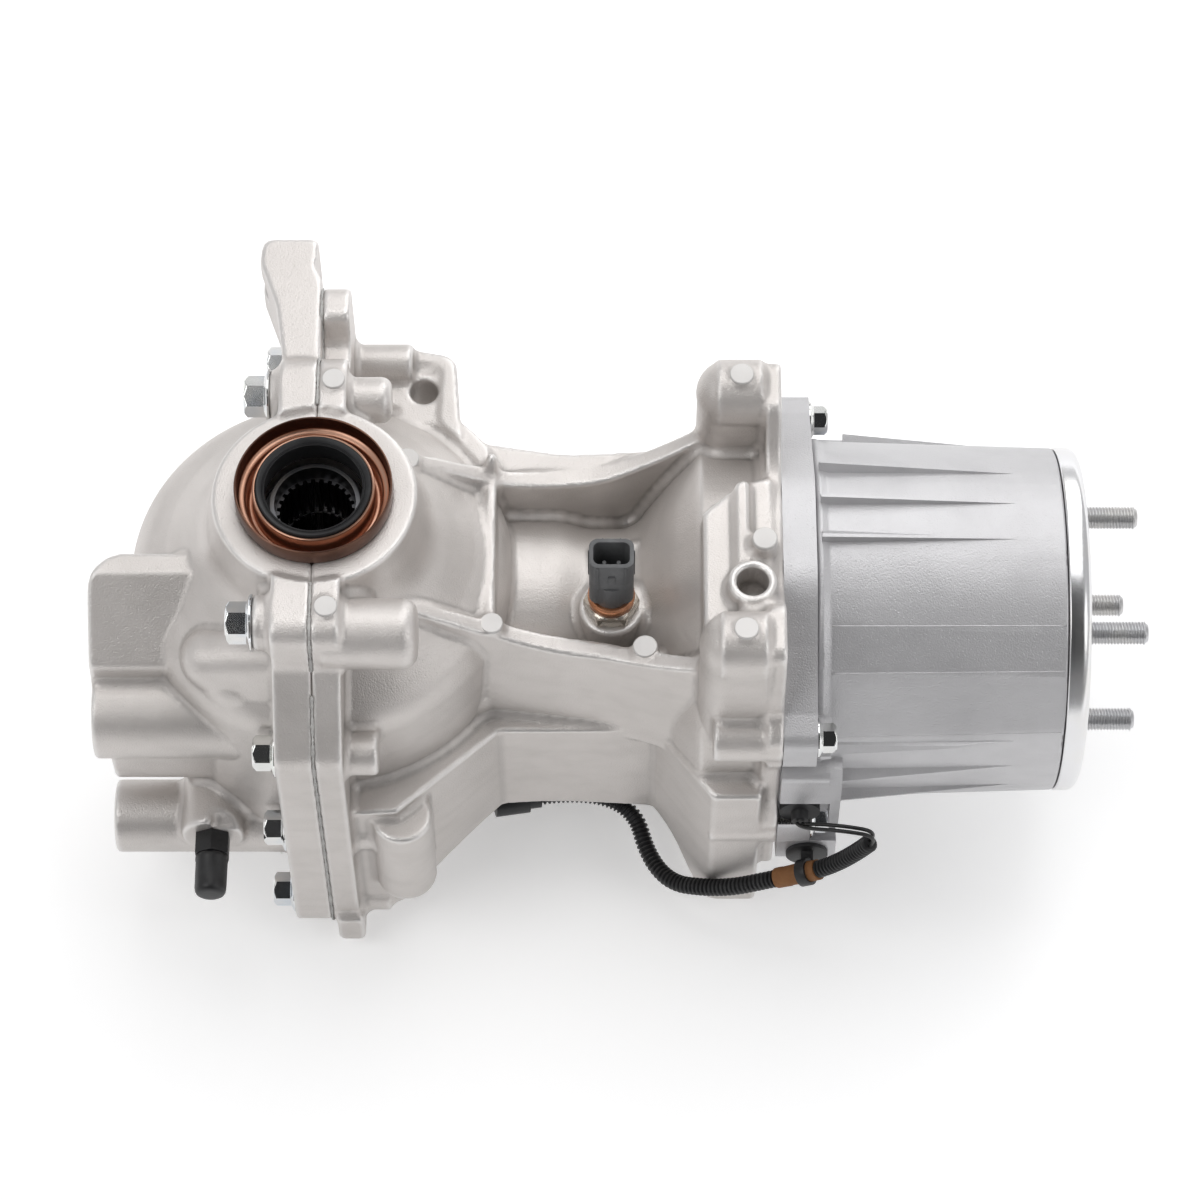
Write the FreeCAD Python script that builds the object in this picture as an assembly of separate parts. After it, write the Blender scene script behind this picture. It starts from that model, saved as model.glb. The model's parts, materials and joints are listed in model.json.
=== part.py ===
import FreeCAD, Part
import math
import os

# Rear differential with an electric coupling on its input, lying on its side.
# Working frame, millimetres: X runs along the pinion from the axle axis to the input plate,
# Z is the axle axis, Y completes it. The parts are written with the origin moved along X to
# the centre of the stud circle on the input plate.

V = FreeCAD.Vector
AXES = {"x": V(1, 0, 0), "y": V(0, 1, 0), "z": V(0, 0, 1)}

# Fits
running = 0.05
bolt_gap = 0.15
seat_gap = 0.3

# Stations along the pinion axis
axle_to_plate_face = 298.0
coupling_joint_x = 179.0
neck_start_x = 40.0

# Axle bearings, seals and the drum around the ring gear
drum_r = 75.0
drum_shoulder_z = 46.0
drum_wall = 5.5
boss_r = 39.0
boss_face_z = 98.0
axle_bearing_r = 37.5
axle_bearing_bore_r = 22.5
axle_bearing_z = 60.0
axle_bearing_width = 19.0
seal_r = 30.1
seal_lip_outer_r = 22.2
seal_lip_r = 18.7
seal_stand = 8.0
seal_depth = 7.0
rim_r = drum_r + 7.0
rim_low_z = 40.0
rim_high_z = 50.0

# Joint between the two case halves
cover_flange = 15.0
case_flange = 11.0
case_bolt_r = 4.0
case_bolt_flats = 12.0
cap_bolt_r = 5.0
cap_bolt_flats = 14.0
cap_bolts = [(-50.0, 88.0), (50.0, 88.0), (-50.0, -88.0), (50.0, -88.0)]
cap_seats = [-22.0, -19.0, -22.0, -19.0]
cap_lug_r = 10.5
case_bolt_y = drum_r + 5.5
case_bolts = [(-case_bolt_y, 40.0), (-case_bolt_y, -25.0), (-case_bolt_y, -82.0), (case_bolt_y + 7.5, 51.0),
              (case_bolt_y + 5.5, -15.0), (case_bolt_y, -82.0)]
dowels = [(-case_bolt_y + 2.5, 8.0), (case_bolt_y + 3.5, 18.0)]
dowel_r = 4.0
lug_r = 12.0

# Rear cover
cover_back_x = -drum_r - 14.0
arm_tip_y = drum_r + 44.0
upper_boss_r = 18.0
upper_boss_at = (-50.0, 15.0)
lower_boss_r = 14.6
lower_boss_at = (-62.0, -52.0)
boss_thread_r = 5.1

# Gears
ring_teeth = 41
pinion_teeth = 16
bevel_module = 3.05
bevel_face = 22.0
ring_back_z = 34.0
ring_flange_t = 8.0
ring_flange_r = 53.0
ring_bolt_circle_r = 46.5
ring_bolt_count = 10
side_teeth = 14
spider_teeth = 10
side_module = 3.55
side_face = 10.5
differential_r = 38.5
cross_pin_r = 8.0
side_hub_r = 17.2
spline_r = 15.3
spline_depth = 1.3
spline_teeth = 28
side_hub_top_z = 92.0
lead_in_r = 15.6
lead_in_depth = 8.0

# Pinion shaft and its bearings
head_bearing_r = 33.0
head_bearing_bore_r = 17.5
head_bearing_width = 21.0
tail_bearing_r = 28.0
tail_bearing_bore_r = 15.0
tail_bearing_x = 113.0
tail_bearing_width = 17.0
pinion_spline_r = 12.5
pinion_end_x = 182.0
neck_r = 40.0
neck_waist_r = 36.0

# Neck walls and the bell
web_t = 5.0
web_lean = 8.0
deck_half_y = 50.5
deck_low_z = 63.0
ledge_half_y = 81.0
bell_x = 138.0
bell_r = 70.0
bell_flange = 6.0
tower_y = 56.0
tower_z = 81.0
tower_r = 13.0
tower_start_x = 146.0
tower_end_x = 172.0
tower_thread_r = 5.1
tower_thread_depth = 18.0

# Coupling housing and its bolts
coupling_flange = 13.0
coupling_root_r = 71.0
coupling_nose_r = 68.2
coupling_nose_x = 289.0
coupling_bore_r = 58.0
coupling_bolt_y = 71.5
coupling_bolt_z = 35.0
coupling_bolt_r = 3.0
coupling_bolt_flats = 10.0
coupling_lug_r = 9.0
rib_start_x = 194.0
rib_end_x = 280.0
rib_height = 4.5
rib_width = 4.0
rib_angles = (62, 77, 91, 162, 175, 190, 232, 248, 264, 296, 312, 328, 350, 5, 21)
port_x = (179.3, 203.0)
port_y = 78.0
port_z = (-62.0, 22.0)

# Input plate, studs and clutch pack
plate_r = 68.5
plate_t = 9.0
stud_circle_r = 40.6
stud_r = 4.0
stud_seat_r = 4.6
stud_stand = 24.5
stud_count = 4
stud_first_angle = 36.6
input_bearing_r = 52.0
input_bearing_bore_r = 38.0
input_bearing_x = 266.0
input_bearing_width = 18.0
input_ball_count = 14
clutch_drum_r = 54.0
clutch_drum_wall = 3.5
clutch_plate_t = 2.2
clutch_plate_gap = 0.35
clutch_pairs = 5
hub_r = 32.0

# Temperature sensor
sensor_x = 113.0
sensor_y = -17.0
sensor_seat_z = 41.0
sensor_flats = 19.0
sensor_shank_r = 6.0

# Breather
drain_y = 12.0
drain_z = -22.0
breather_x = -46.0
breather_z = -40.0
breather_seat_y = -drum_r - 2.0
breather_tip_y = breather_seat_y - 26.0

# Lead of the coupling's magnet
conduit_r = 3.6
wire_r = 0.8
grommet_r = 8.0
grommet_x = 187.5
grommet_z = -18.5
conduit_route = [
    (214.5, -92.0, -15.1),
    (203.9, -89.5, -40.9),
    (157.0, -85.5, -72.5),
    (131.0, -74.0, -88.0),
    (120.0, -34.0, -80.0),
    (84.0, -41.0, -77.0),
]
conduit_bends = [29.0, 60.0, 26.0, 23.0]
wire_bends = [7.0, 5.0]
sleeve_r = 4.3
clip_x = 191.6
clip_z = -52.0


def box(xs, ys, zs):
    size = (xs[1] - xs[0], ys[1] - ys[0], zs[1] - zs[0])
    return Part.makeBox(*size, V(xs[0], ys[0], zs[0]))


def on_axis(axis, along, a, b):
    """Point at a distance along an axis, with its two other coordinates in X, Y, Z order."""
    return {"x": V(along, a, b), "y": V(a, along, b), "z": V(a, b, along)}[axis]


def rod(axis, radius, low, high, a=0.0, b=0.0):
    return Part.makeCylinder(radius, high - low, on_axis(axis, low, a, b), AXES[axis])


def tube(axis, outer, inner, low, high, a=0.0, b=0.0):
    return rod(axis, outer, low, high, a, b).cut(rod(axis, inner, low - 1, high + 1, a, b))


def taper(axis, low_r, high_r, low, high, a=0.0, b=0.0):
    return Part.makeCone(low_r, high_r, high - low, on_axis(axis, low, a, b), AXES[axis])


def hexagon(axis, flats, low, high, a=0.0, b=0.0):
    corners = []
    for k in range(7):
        angle = math.radians(60 * k + 30)
        reach = flats / math.sqrt(3)
        corners.append(on_axis(axis, low, a + reach * math.cos(angle), b + reach * math.sin(angle)))
    return Part.Face(Part.makePolygon(corners)).extrude(AXES[axis] * (high - low))


def rounded_path(points, radii, closed):
    """Straight runs through the points, joined by tangent arcs of the given radii."""
    count = len(points)
    arcs = []
    for k, here in enumerate(points):
        if radii[k] <= 0 or (not closed and k in (0, count - 1)):
            arcs.append((here, here, here))
            continue
        back = (points[k - 1] - here).normalize()
        ahead = (points[(k + 1) % count] - here).normalize()
        half = back.getAngle(ahead) / 2
        bisector = (back + ahead).normalize()
        reach = radii[k] / math.tan(half)
        middle = here + bisector * (radii[k] / math.sin(half) - radii[k])
        arcs.append((here + back * reach, middle, here + ahead * reach))
    edges = []
    for k in range(count):
        start, middle, end = arcs[k]
        if start.distanceToPoint(end) > 1e-6:
            edges.append(Part.Arc(start, middle, end).toShape())
        if k + 1 < count or closed:
            following = arcs[(k + 1) % count][0]
            if end.distanceToPoint(following) > 1e-6:
                edges.append(Part.LineSegment(end, following).toShape())
    return Part.Wire(edges)


def slab(axis, corners, low, high):
    """Plate across an axis from corners (a, b, corner radius) in its plane."""
    points = [on_axis(axis, low, a, b) for a, b, _ in corners]
    outline = rounded_path(points, [radius for _, _, radius in corners], True)
    return Part.Face(outline).extrude(AXES[axis] * (high - low))


def turned(axis, corners):
    """Solid of revolution from corners (radius, station, corner radius)."""
    if axis == "x":
        points = [V(along, 0, radius) for radius, along, _ in corners]
    else:
        points = [V(radius, 0, along) for radius, along, _ in corners]
    profile = Part.Face(rounded_path(points, [bend for _, _, bend in corners], True))
    return profile.revolve(V(0, 0, 0), AXES[axis], 360)


def ring_section(axis, corners):
    return turned(axis, [(radius, along, 0) for radius, along in corners])


def joined(*shapes):
    whole = shapes[0].multiFuse(list(shapes[1:]))
    return whole.removeSplitter()


def less(shape, *cutters):
    return shape.cut(list(cutters))


def spun(shape, axis, angle, centre=V(0, 0, 0)):
    turned_copy = shape.copy()
    turned_copy.rotate(centre, AXES[axis], angle)
    return turned_copy


def around(shape, axis, count, first=0.0):
    return [spun(shape, axis, first + 360.0 * k / count) for k in range(count)]


def mirrored_z(shape):
    return shape.mirror(V(0, 0, 0), V(0, 0, 1))


def group(shapes):
    return Part.makeCompound(list(shapes))


# Bevel gears, about Z with the cone's point at the origin

def bevel_teeth(teeth, pitch_angle, cone, face, module, first_angle, share=0.86):
    """Straight bevel teeth, each lofted towards the cone's point."""
    radial = V(math.sin(pitch_angle), 0, math.cos(pitch_angle))
    lift = V(math.cos(pitch_angle), 0, -math.sin(pitch_angle))
    half = 0.25 * math.pi * module * share
    tip = 0.8 * module
    root = 1.5 * module
    slope = math.tan(math.radians(20))
    outline = [(-half - root * slope, -root), (half + root * slope, -root), (half - tip * slope, tip),
               (-half + tip * slope, tip)]
    wires = []
    for distance in (cone, cone - face):
        scale = distance / cone
        corners = [radial * distance + V(0, s, 0) * scale + lift * (n * scale) for s, n in outline]
        wires.append(Part.makePolygon(corners + [corners[0]]))
    return around(Part.makeLoft(wires, True, True), "z", teeth, first_angle)


def bevel_root(pitch_angle, cone, face, module):
    """Outer and inner corners (radius, station) of the cone under the teeth, just past their ends."""
    radial = (math.sin(pitch_angle) * cone, math.cos(pitch_angle) * cone)
    lift = (math.cos(pitch_angle), -math.sin(pitch_angle))
    corner = (radial[0] - 1.1 * module * lift[0], radial[1] - 1.1 * module * lift[1])
    ends = []
    for scale in (1 + 0.6 / cone, 1 - (face + 0.6) / cone):
        ends.append((corner[0] * scale, corner[1] * scale))
    return ends


drive_angle = math.atan2(ring_teeth, pinion_teeth)
drive_cone = bevel_module * ring_teeth / 2 / math.sin(drive_angle)
side_angle = math.atan2(side_teeth, spider_teeth)
side_cone = side_module * side_teeth / 2 / math.sin(side_angle)


def ring_gear():
    outer, inner = bevel_root(drive_angle, drive_cone, bevel_face, bevel_module)
    bore = differential_r + bolt_gap
    rim = outer[0] + 1.2
    body = ring_section("z", [inner, outer, (rim, outer[1] + 0.6), (rim, ring_back_z), (bore, ring_back_z),
                              (bore, inner[1] + 0.8)])
    space = 180.0 / ring_teeth
    body = joined(body, *bevel_teeth(ring_teeth, drive_angle, drive_cone, bevel_face, bevel_module, space))
    holes = around(rod("z", case_bolt_r + bolt_gap, ring_back_z - 5, ring_back_z + 1, ring_bolt_circle_r), "z",
                   ring_bolt_count, 18)
    return less(body, *holes)


def ring_gear_bolts():
    top = ring_back_z + ring_flange_t
    bolt = joined(rod("z", case_bolt_r, ring_back_z - 4.5, top + 0.5, ring_bolt_circle_r),
                  hexagon("z", 11.0, top, top + 4.5, ring_bolt_circle_r))
    return group(around(bolt, "z", ring_bolt_count, 18))


def differential_case():
    top = ring_back_z + ring_flange_t
    neck = axle_bearing_z - seat_gap
    hub = axle_bearing_z + axle_bearing_width + 1
    body = turned("z", [(0, hub, 0), (axle_bearing_bore_r - 1, hub, 0), (axle_bearing_bore_r - running, hub - 1, 0),
                        (axle_bearing_bore_r - running, neck, 0), (27, neck, 0), (30, top, 4),
                        (ring_flange_r, top, 0), (ring_flange_r, ring_back_z, 0), (differential_r, ring_back_z, 0),
                        (differential_r, -36, 6), (30, -46, 6), (27, -neck, 0),
                        (axle_bearing_bore_r - running, -neck, 0), (axle_bearing_bore_r - running, 1 - hub, 0),
                        (axle_bearing_bore_r - 1, -hub, 0), (0, -hub, 0)])
    gear_room = rod("z", 28.0, -30.0, 30.0)
    spider_room = rod("y", 20.8, -33.0, 33.0)
    windows = box((-50, 50), (-16, 16), (-15, 15))
    shaft_bore = rod("z", side_hub_r + running, -hub - 1, hub + 1)
    pin_bore = rod("y", cross_pin_r + running, -50, 50)
    lock_bore = rod("x", 2.5 + running, -25, 25, 35.5, 0)
    bolt_holes = around(rod("z", case_bolt_r + bolt_gap, ring_back_z - 1, top + 1, ring_bolt_circle_r), "z",
                        ring_bolt_count, 18)
    return less(body, gear_room, spider_room, windows, shaft_bore, pin_bore, lock_bore, *bolt_holes)


def splined_bore(low, high):
    """Round bore with straight teeth standing in from its wall."""
    step = 2 * math.pi / spline_teeth
    crest = spline_r - spline_depth
    corners = []
    for k in range(spline_teeth):
        for turn, radius in ((-0.30, spline_r), (-0.20, crest), (0.20, crest), (0.30, spline_r)):
            angle = step * (k + turn)
            corners.append(V(radius * math.cos(angle), radius * math.sin(angle), low))
    return Part.Face(Part.makePolygon(corners + [corners[0]])).extrude(V(0, 0, high - low))


def side_gear():
    """Upper gear with the long splined hub that a drive shaft slides into."""
    outer, inner = bevel_root(side_angle, side_cone, side_face, side_module)
    back = 28.7
    body = ring_section("z", [(0, inner[1]), inner, outer, (outer[0] + 0.8, outer[1] + 0.6), (25.5, back),
                              (side_hub_r, back), (side_hub_r, side_hub_top_z), (0, side_hub_top_z)])
    body = joined(body, *bevel_teeth(side_teeth, side_angle, side_cone, side_face, side_module, 90, 0.83))
    clip_groove = tube("z", spline_r + 0.9, spline_r - 3, 60.0, 61.6)
    lead_in = rod("z", lead_in_r, side_hub_top_z - lead_in_depth, side_hub_top_z + 1)
    return less(body, splined_bore(30.0, side_hub_top_z), rod("z", spline_r - spline_depth, 9, 31), clip_groove, lead_in)


def shaft_clip():
    ring = tube("z", spline_r + 0.7, spline_r - 1.0, 60.2, 61.4)
    return less(ring, box((0, 30), (-2, 2), (59, 63)))


def spider_gear():
    """Gear on the +Y end of the cross pin."""
    outer, inner = bevel_root(math.pi / 2 - side_angle, side_cone, side_face, side_module)
    body = ring_section("z", [(0, inner[1]), inner, outer, (outer[0] + 0.6, outer[1] + 0.8), (16.0, 31.6), (0, 31.6)])
    body = joined(body, *bevel_teeth(spider_teeth, math.pi / 2 - side_angle, side_cone, side_face, side_module,
                                     0, 0.83))
    body = less(body, rod("z", cross_pin_r + running, 0, 40))
    return spun(body, "x", -90)


def thrust_washers():
    upper = tube("z", 25.0, side_hub_r + running, 28.9, 29.9)
    far = tube("y", 16.0, cross_pin_r + running, 31.8, 32.8)
    return group([upper, mirrored_z(upper), far, spun(far, "z", 180)])


def cross_pin():
    pin = rod("y", cross_pin_r, -differential_r + 1.5, differential_r - 1.5)
    return less(pin, rod("x", 2.5 + running, -20, 20, 35.5, 0))


def cross_pin_lock():
    return rod("x", 2.5, -17, 17, 35.5, 0)


# Bearings

def bearing_cup(axis, outer, bore, low, width):
    """Outer ring of a tapered roller bearing, wide end at the high side."""
    thin = outer - 0.16 * (outer - bore)
    thick = outer - 0.34 * (outer - bore)
    return ring_section(axis, [(outer, low), (outer, low + width), (thin, low + width), (thick, low)])


def bearing_cone(axis, outer, bore, low, width, count):
    """Inner ring with its ribs, and the tapered rollers that it carries."""
    depth = outer - bore
    thin = bore + 0.30 * depth
    thick = bore + 0.22 * depth
    low_face = low + 1.0
    high_face = low + width
    rib = 0.10 * depth
    ring = ring_section(axis, [(bore + running, low_face), (thick + rib, low_face), (thick + rib, low_face + 2),
                               (thick, low_face + 2), (thin, high_face - 3), (thin + rib, high_face - 3),
                               (thin + rib, high_face), (bore + running, high_face)])
    small = (outer - 0.34 * depth - thick) / 2 - 0.25
    large = (outer - 0.18 * depth - thin) / 2 - 0.25
    start = on_axis(axis, low_face + 2.3, *across(axis, thick + small + 0.2))
    end = on_axis(axis, high_face - 3.3, *across(axis, thin + large + 0.2))
    return group([ring] + around(roller(start, end, small, large), axis, count))


def roller(start, end, small, large):
    """Tapered roller drawn with eight flats."""
    along = (end - start).normalize()
    side = along.cross(V(1, 1, 1)).normalize()
    up = along.cross(side)
    wires = []
    for centre, radius in ((start, small), (end, large)):
        corners = []
        for k in range(9):
            angle = math.radians(45 * (k % 8) + 22.5)
            corners.append(centre + side * (radius * math.cos(angle)) + up * (radius * math.sin(angle)))
        wires.append(Part.makePolygon(corners))
    return Part.makeLoft(wires, True, True)


def across(axis, radius):
    """Other two coordinates of a point at this radius from a turning axis."""
    return (0, radius) if axis == "x" else (radius, 0)


def input_bearing():
    """Rings and balls of the deep-groove bearing that carries the input plate."""
    low, high = input_bearing_x, input_bearing_x + input_bearing_width
    middle = (low + high) / 2
    pitch = (input_bearing_r + input_bearing_bore_r) / 2
    ball_r = 0.30 * (input_bearing_r - input_bearing_bore_r)
    shoulder = 0.55 * ball_r
    groove = tube("x", pitch + ball_r + 0.1, pitch - ball_r - 0.1, middle - ball_r, middle + ball_r)
    outer = less(tube("x", input_bearing_r, pitch + shoulder, low, high), groove)
    inner = less(tube("x", pitch - shoulder, input_bearing_bore_r + running, low, high), groove)
    ball = rod("x", ball_r, middle - 0.8 * ball_r, middle + 0.8 * ball_r, 0, pitch)
    return outer, inner, group(around(ball, "x", input_ball_count))


def pinion_head():
    """Cone angle of the pinion, its back face and its root corners."""
    angle = math.pi / 2 - drive_angle
    outer, inner = bevel_root(angle, drive_cone, bevel_face, bevel_module)
    return angle, outer, inner


head_bearing_x = pinion_head()[1][1] + 4.0


def drive_pinion():
    angle, outer, inner = pinion_head()
    seat = head_bearing_x
    blank = ring_section("z", [(0, inner[1]), inner, outer, (outer[0] + 1.0, outer[1] + 1.0),
                               (head_bearing_bore_r + 4, seat), (head_bearing_bore_r, seat),
                               (head_bearing_bore_r, seat + head_bearing_width),
                               (tail_bearing_bore_r, seat + head_bearing_width),
                               (tail_bearing_bore_r, tail_bearing_x + tail_bearing_width + 12),
                               (pinion_spline_r, tail_bearing_x + tail_bearing_width + 14),
                               (pinion_spline_r, pinion_end_x), (0, pinion_end_x)])
    gear = joined(blank, *bevel_teeth(pinion_teeth, angle, drive_cone, bevel_face, bevel_module, 0))
    return spun(gear, "y", 90)


def pinion_spacer():
    low = head_bearing_x + head_bearing_width + 0.1
    return tube("x", tail_bearing_bore_r + 4, tail_bearing_bore_r + running, low, tail_bearing_x + 0.9)


def pinion_nut():
    low = tail_bearing_x + tail_bearing_width + 0.1
    nut = hexagon("x", 2.1 * tail_bearing_bore_r + 4, low, low + 10)
    return less(joined(nut, rod("x", tail_bearing_bore_r + 4, low, low + 3)),
                rod("x", tail_bearing_bore_r + running, low - 1, low + 11))


# Castings

def drum(radius_shift, shoulder_shift, boss):
    """Body of revolution round the ring gear, drawn in to the axle bores above and below."""
    r = drum_r + radius_shift
    z = drum_shoulder_z + shoulder_shift
    top = [(0, boss_face_z, 0), (boss, boss_face_z, 1.5), (boss + 4, 73, 18), (60 + radius_shift, z + 11, 9),
           (r, z, 18)]
    return turned("z", top + [(radius, -along, bend) for radius, along, bend in reversed(top)])


def gear_room():
    """Space inside the case for the ring gear and the differential."""
    r = drum_r - drum_wall
    top = [(0, axle_bearing_z + 0.5, 0), (axle_bearing_r - 4, axle_bearing_z + 0.5, 0),
           (axle_bearing_r + 4, axle_bearing_z - 8, 4), (56, 50, 6), (r, 40, 10)]
    room = turned("z", top + [(radius, -along, bend) for radius, along, bend in reversed(top)])
    bearing_top = axle_bearing_z + axle_bearing_width
    bore = [rod("z", axle_bearing_r + running, axle_bearing_z, bearing_top),
            rod("z", axle_bearing_r - 6, axle_bearing_z, boss_face_z - seal_depth - 1),
            rod("z", seal_r - 1.5 + running, boss_face_z - seal_depth - 1, boss_face_z + 1),
            rod("z", boss_r - 1, boss_face_z, boss_face_z + 5)]
    return joined(room, *bore, *[mirrored_z(shape) for shape in bore])


def case_outline():
    """Outline of the joint face, (y, z, corner radius)."""
    near_y = case_bolts[0][0] - lug_r
    far_y = case_bolts[3][0] + lug_r
    low_z = case_bolts[2][1] - lug_r
    cap_y = cap_bolts[1][0] + lug_r
    cap_z = cap_bolts[1][1] + lug_r
    step_y = cap_y - 0.295 * (near_y + cap_y)
    notch = far_y - cap_y
    return [(-cap_y, cap_z, 9), (-cap_y - 4, cap_z - 20, 8), (near_y, case_bolts[0][1] + 12, 10),
            (near_y, low_z, lug_r), (-step_y, low_z, 6), (-cap_y, -cap_z, 6),
            (cap_y, -cap_z, 6), (step_y, low_z, 6), (case_bolts[5][0] + lug_r, low_z, lug_r),
            (far_y - 4, case_bolts[4][1] - 14, 20), (far_y, case_bolts[3][1], 10), (far_y - 2, 95, 7),
            (cap_y + 0.526 * notch, 95, 5), (cap_y + 0.421 * notch, cap_z - 18, 5), (cap_y + 4, cap_z - 18, 5),
            (cap_y, cap_z, 9)]


def bolt_holes(bolts, radius, low, high):
    return [rod("x", radius + bolt_gap, low, high, y, z) for y, z in bolts]


def half_space(side):
    return box((0, 400) if side > 0 else (-400, 0), (-300, 300), (-300, 300))


def rear_arm():
    """Arm of the cover that reaches past the joint to a threaded seat."""
    sweep = slab("z", [(-24, arm_tip_y, 4), (-25, arm_tip_y - 11, 6), (-18, arm_tip_y - 31, 14), (-13, 52, 6),
                       (0, 52, 0), (0, arm_tip_y - 20, 0), (-3, arm_tip_y - 13, 3), (-2, arm_tip_y, 2)], 62, 95)
    return less(sweep, rod("x", boss_thread_r, -40, -8, arm_tip_y - 12, 79))


def rear_cover():
    shell = drum(0, 0, boss_r).common(half_space(-1))
    flange = slab("x", case_outline(), -cover_flange, 0)
    side_block = slab("x", [(6, 40, 0), (-7, 60, 0), (-7, 66, 0), (-16, 66, 3), (-45, 43, 5), (-47, 20, 0),
                            (6, 10, 0)], cover_back_x, -34)
    side_block = side_block.common(slab("z", [(cover_back_x, -60, 0), (cover_back_x, -12, 16), (9 - drum_r, -2, 8),
                                              (-30, 8, 0), (-30, -60, 0)], 0, 80))
    low_block = slab("x", [(-62, 6, 6), (-60, -28, 14), (-18, -38, 14), (-8, 6, 0)], cover_back_x + 5, -8)
    boss_a = rod("x", upper_boss_r, cover_back_x + 0.5, -4, *upper_boss_at)
    boss_b = rod("x", lower_boss_r, cover_back_x + 3, -4, *lower_boss_at)
    fairing = turned("z", [(0, 0, 0), (21, 0, 0), (21, 59, 14), (0, 59, 0)])
    fairing.translate(V(-28, -44, 0))
    pad = rod("y", 12.5, breather_seat_y, -50, breather_x, breather_z)
    lugs = [rod("x", cap_lug_r, seat, -4, y, z) for seat, (y, z) in zip(cap_seats, cap_bolts)]
    drain_boss = rod("x", 13, -drum_r - 0.6, 15 - drum_r, drain_y, drain_z).cut(gear_room())
    body = joined(shell, flange, side_block, low_block, boss_a, boss_b, fairing, pad, drain_boss, rear_arm(), *lugs)
    thread_a = rod("x", boss_thread_r, cover_back_x - 2, cover_back_x + 27, *upper_boss_at)
    thread_b = rod("x", boss_thread_r, cover_back_x + 2, cover_back_x + 31, *lower_boss_at)
    breather_port = rod("y", 4.0, breather_seat_y - 1, breather_seat_y + 14, breather_x, breather_z)
    seats = [rod("x", cap_lug_r + 1, -60, seat, y, z) for seat, (y, z) in zip(cap_seats, cap_bolts)]
    seats += [rod("x", 9.5, -46, -cover_flange, y, z) for y, z in case_bolts[:3] + case_bolts[4:]]
    seats.append(rod("x", 9.5, -24, -cover_flange, *case_bolts[3]))
    drain_hole = rod("x", 8 + running, -drum_r - 2, -drum_r + 3.5, drain_y, drain_z)
    return less(body, gear_room(), thread_a, thread_b, breather_port, drain_hole, *seats,
                *bolt_holes(cap_bolts, cap_bolt_r, -60, 1), *bolt_holes(case_bolts, case_bolt_r, -30, 1),
                *[rod("x", dowel_r + running, -6, 1, y, z) for y, z in dowels])


def web(side):
    """Wall beside the sensor pocket, swept up from the waist to the drum and to the bell."""
    crest = [V(20, 0, 76), V(34, 0, 71), V(54, 0, 61), V(66, 0, 55), V(100, 0, 47), V(126, 0, 50), V(154, 0, 61)]
    curve = Part.BSplineCurve()
    curve.interpolate(crest)
    edges = [curve.toShape()]
    edges += [Part.LineSegment(crest[-1], V(154, 0, -5)).toShape(), Part.LineSegment(V(154, 0, -5), V(20, 0, -5)).toShape(),
              Part.LineSegment(V(20, 0, -5), crest[0]).toShape()]
    side_face = Part.Face(Part.Wire(edges)).extrude(V(0, 70, 0))
    inner = [(20, 30, 0), (70, 30.5, 40), (110, 35.5, 60), (154, 50, 0)]
    wires = []
    for z, thickness in ((-10, web_t + web_lean), (80, web_t - 0.5)):
        outer = [(x, y + thickness, bend) for x, y, bend in inner]
        corners = inner + list(reversed(outer))
        wires.append(rounded_path([V(x, y, z) for x, y, _ in corners], [bend for _, _, bend in corners], True))
    wall = side_face.common(Part.makeLoft(wires, True, True))
    return wall if side > 0 else wall.mirror(V(0, 0, 0), V(0, 1, 0))


def neck_deck():
    """Lower half of the neck, with the ledge along the middle plane."""
    ledge = [(8, ledge_half_y + 6), (29, ledge_half_y + 5), (69, deck_half_y), (130, deck_half_y),
             (153, ledge_half_y - 1), (172, ledge_half_y - 1)]
    plan = [(x, -y, 3 if 20 < x < 160 else 0) for x, y in ledge]
    plan += [(x, y, 3 if 20 < x < 160 else 0) for x, y in reversed(ledge)]
    body = slab("z", plan, -110, 0)
    profile = [V(8, 0, -96), V(40, 0, -76), V(66, 0, -66), V(93, 0, -deck_low_z), V(120, 0, -65.5), V(136, 0, -70),
               V(142, 0, -80), V(150, 0, -94)]
    curve = Part.BSplineCurve()
    curve.interpolate(profile)
    edges = [curve.toShape()]
    corners = [profile[-1], V(172, 0, -94), V(172, 0, 0), V(8, 0, 0), profile[0]]
    edges += [Part.LineSegment(a, b).toShape() for a, b in zip(corners, corners[1:])]
    side = Part.Face(Part.Wire(edges)).extrude(V(0, 240, 0))
    side.translate(V(0, -120, 0))
    body = body.common(side)
    pocket = slab("z", [(30, -60, 12), (72, -deck_half_y + web_t + 1, 12), (128, -deck_half_y + web_t + 1, 12),
                        (136, -58, 6), (136, 58, 6), (128, deck_half_y - web_t - 1, 12),
                        (72, deck_half_y - web_t - 1, 12), (30, 60, 12)], -120, -8)
    front_pocket = box((146, 166), (-44, 44), (-120, -60))
    return less(body, pocket, front_pocket)


def far_shelf():
    """Closed box beside the far web, level with the drum's rim."""
    plan = [(40, 33, 0), (40, 66, 0), (62, 54, 12), (95, deck_half_y - 2, 60), (130, deck_half_y, 20),
            (152, 60, 0), (152, 48, 0), (110, 39, 0), (70, 33, 0)]
    return slab("z", plan, -4, 47)


def mount_ear():
    """Plate behind the drum with a plain hole and a raised edge."""
    plate = slab("z", [(8, 60, 0), (8, 98, 0), (30, 96, 4), (51, 92, 7), (54, 52, 0)], 36, rim_high_z - 3)
    edge = slab("z", [(45, 62, 0), (46, 88, 6), (10, 92, 0), (10, 98, 0), (30, 96, 4), (51, 92, 7), (54, 52, 0)],
                20, rim_high_z + 1)
    seat = slab("z", [(29, 62, 3), (29, 86, 6), (46, 84, 6), (48, 60, 3)], 30, rim_high_z)
    return joined(plate, edge, seat)


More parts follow.
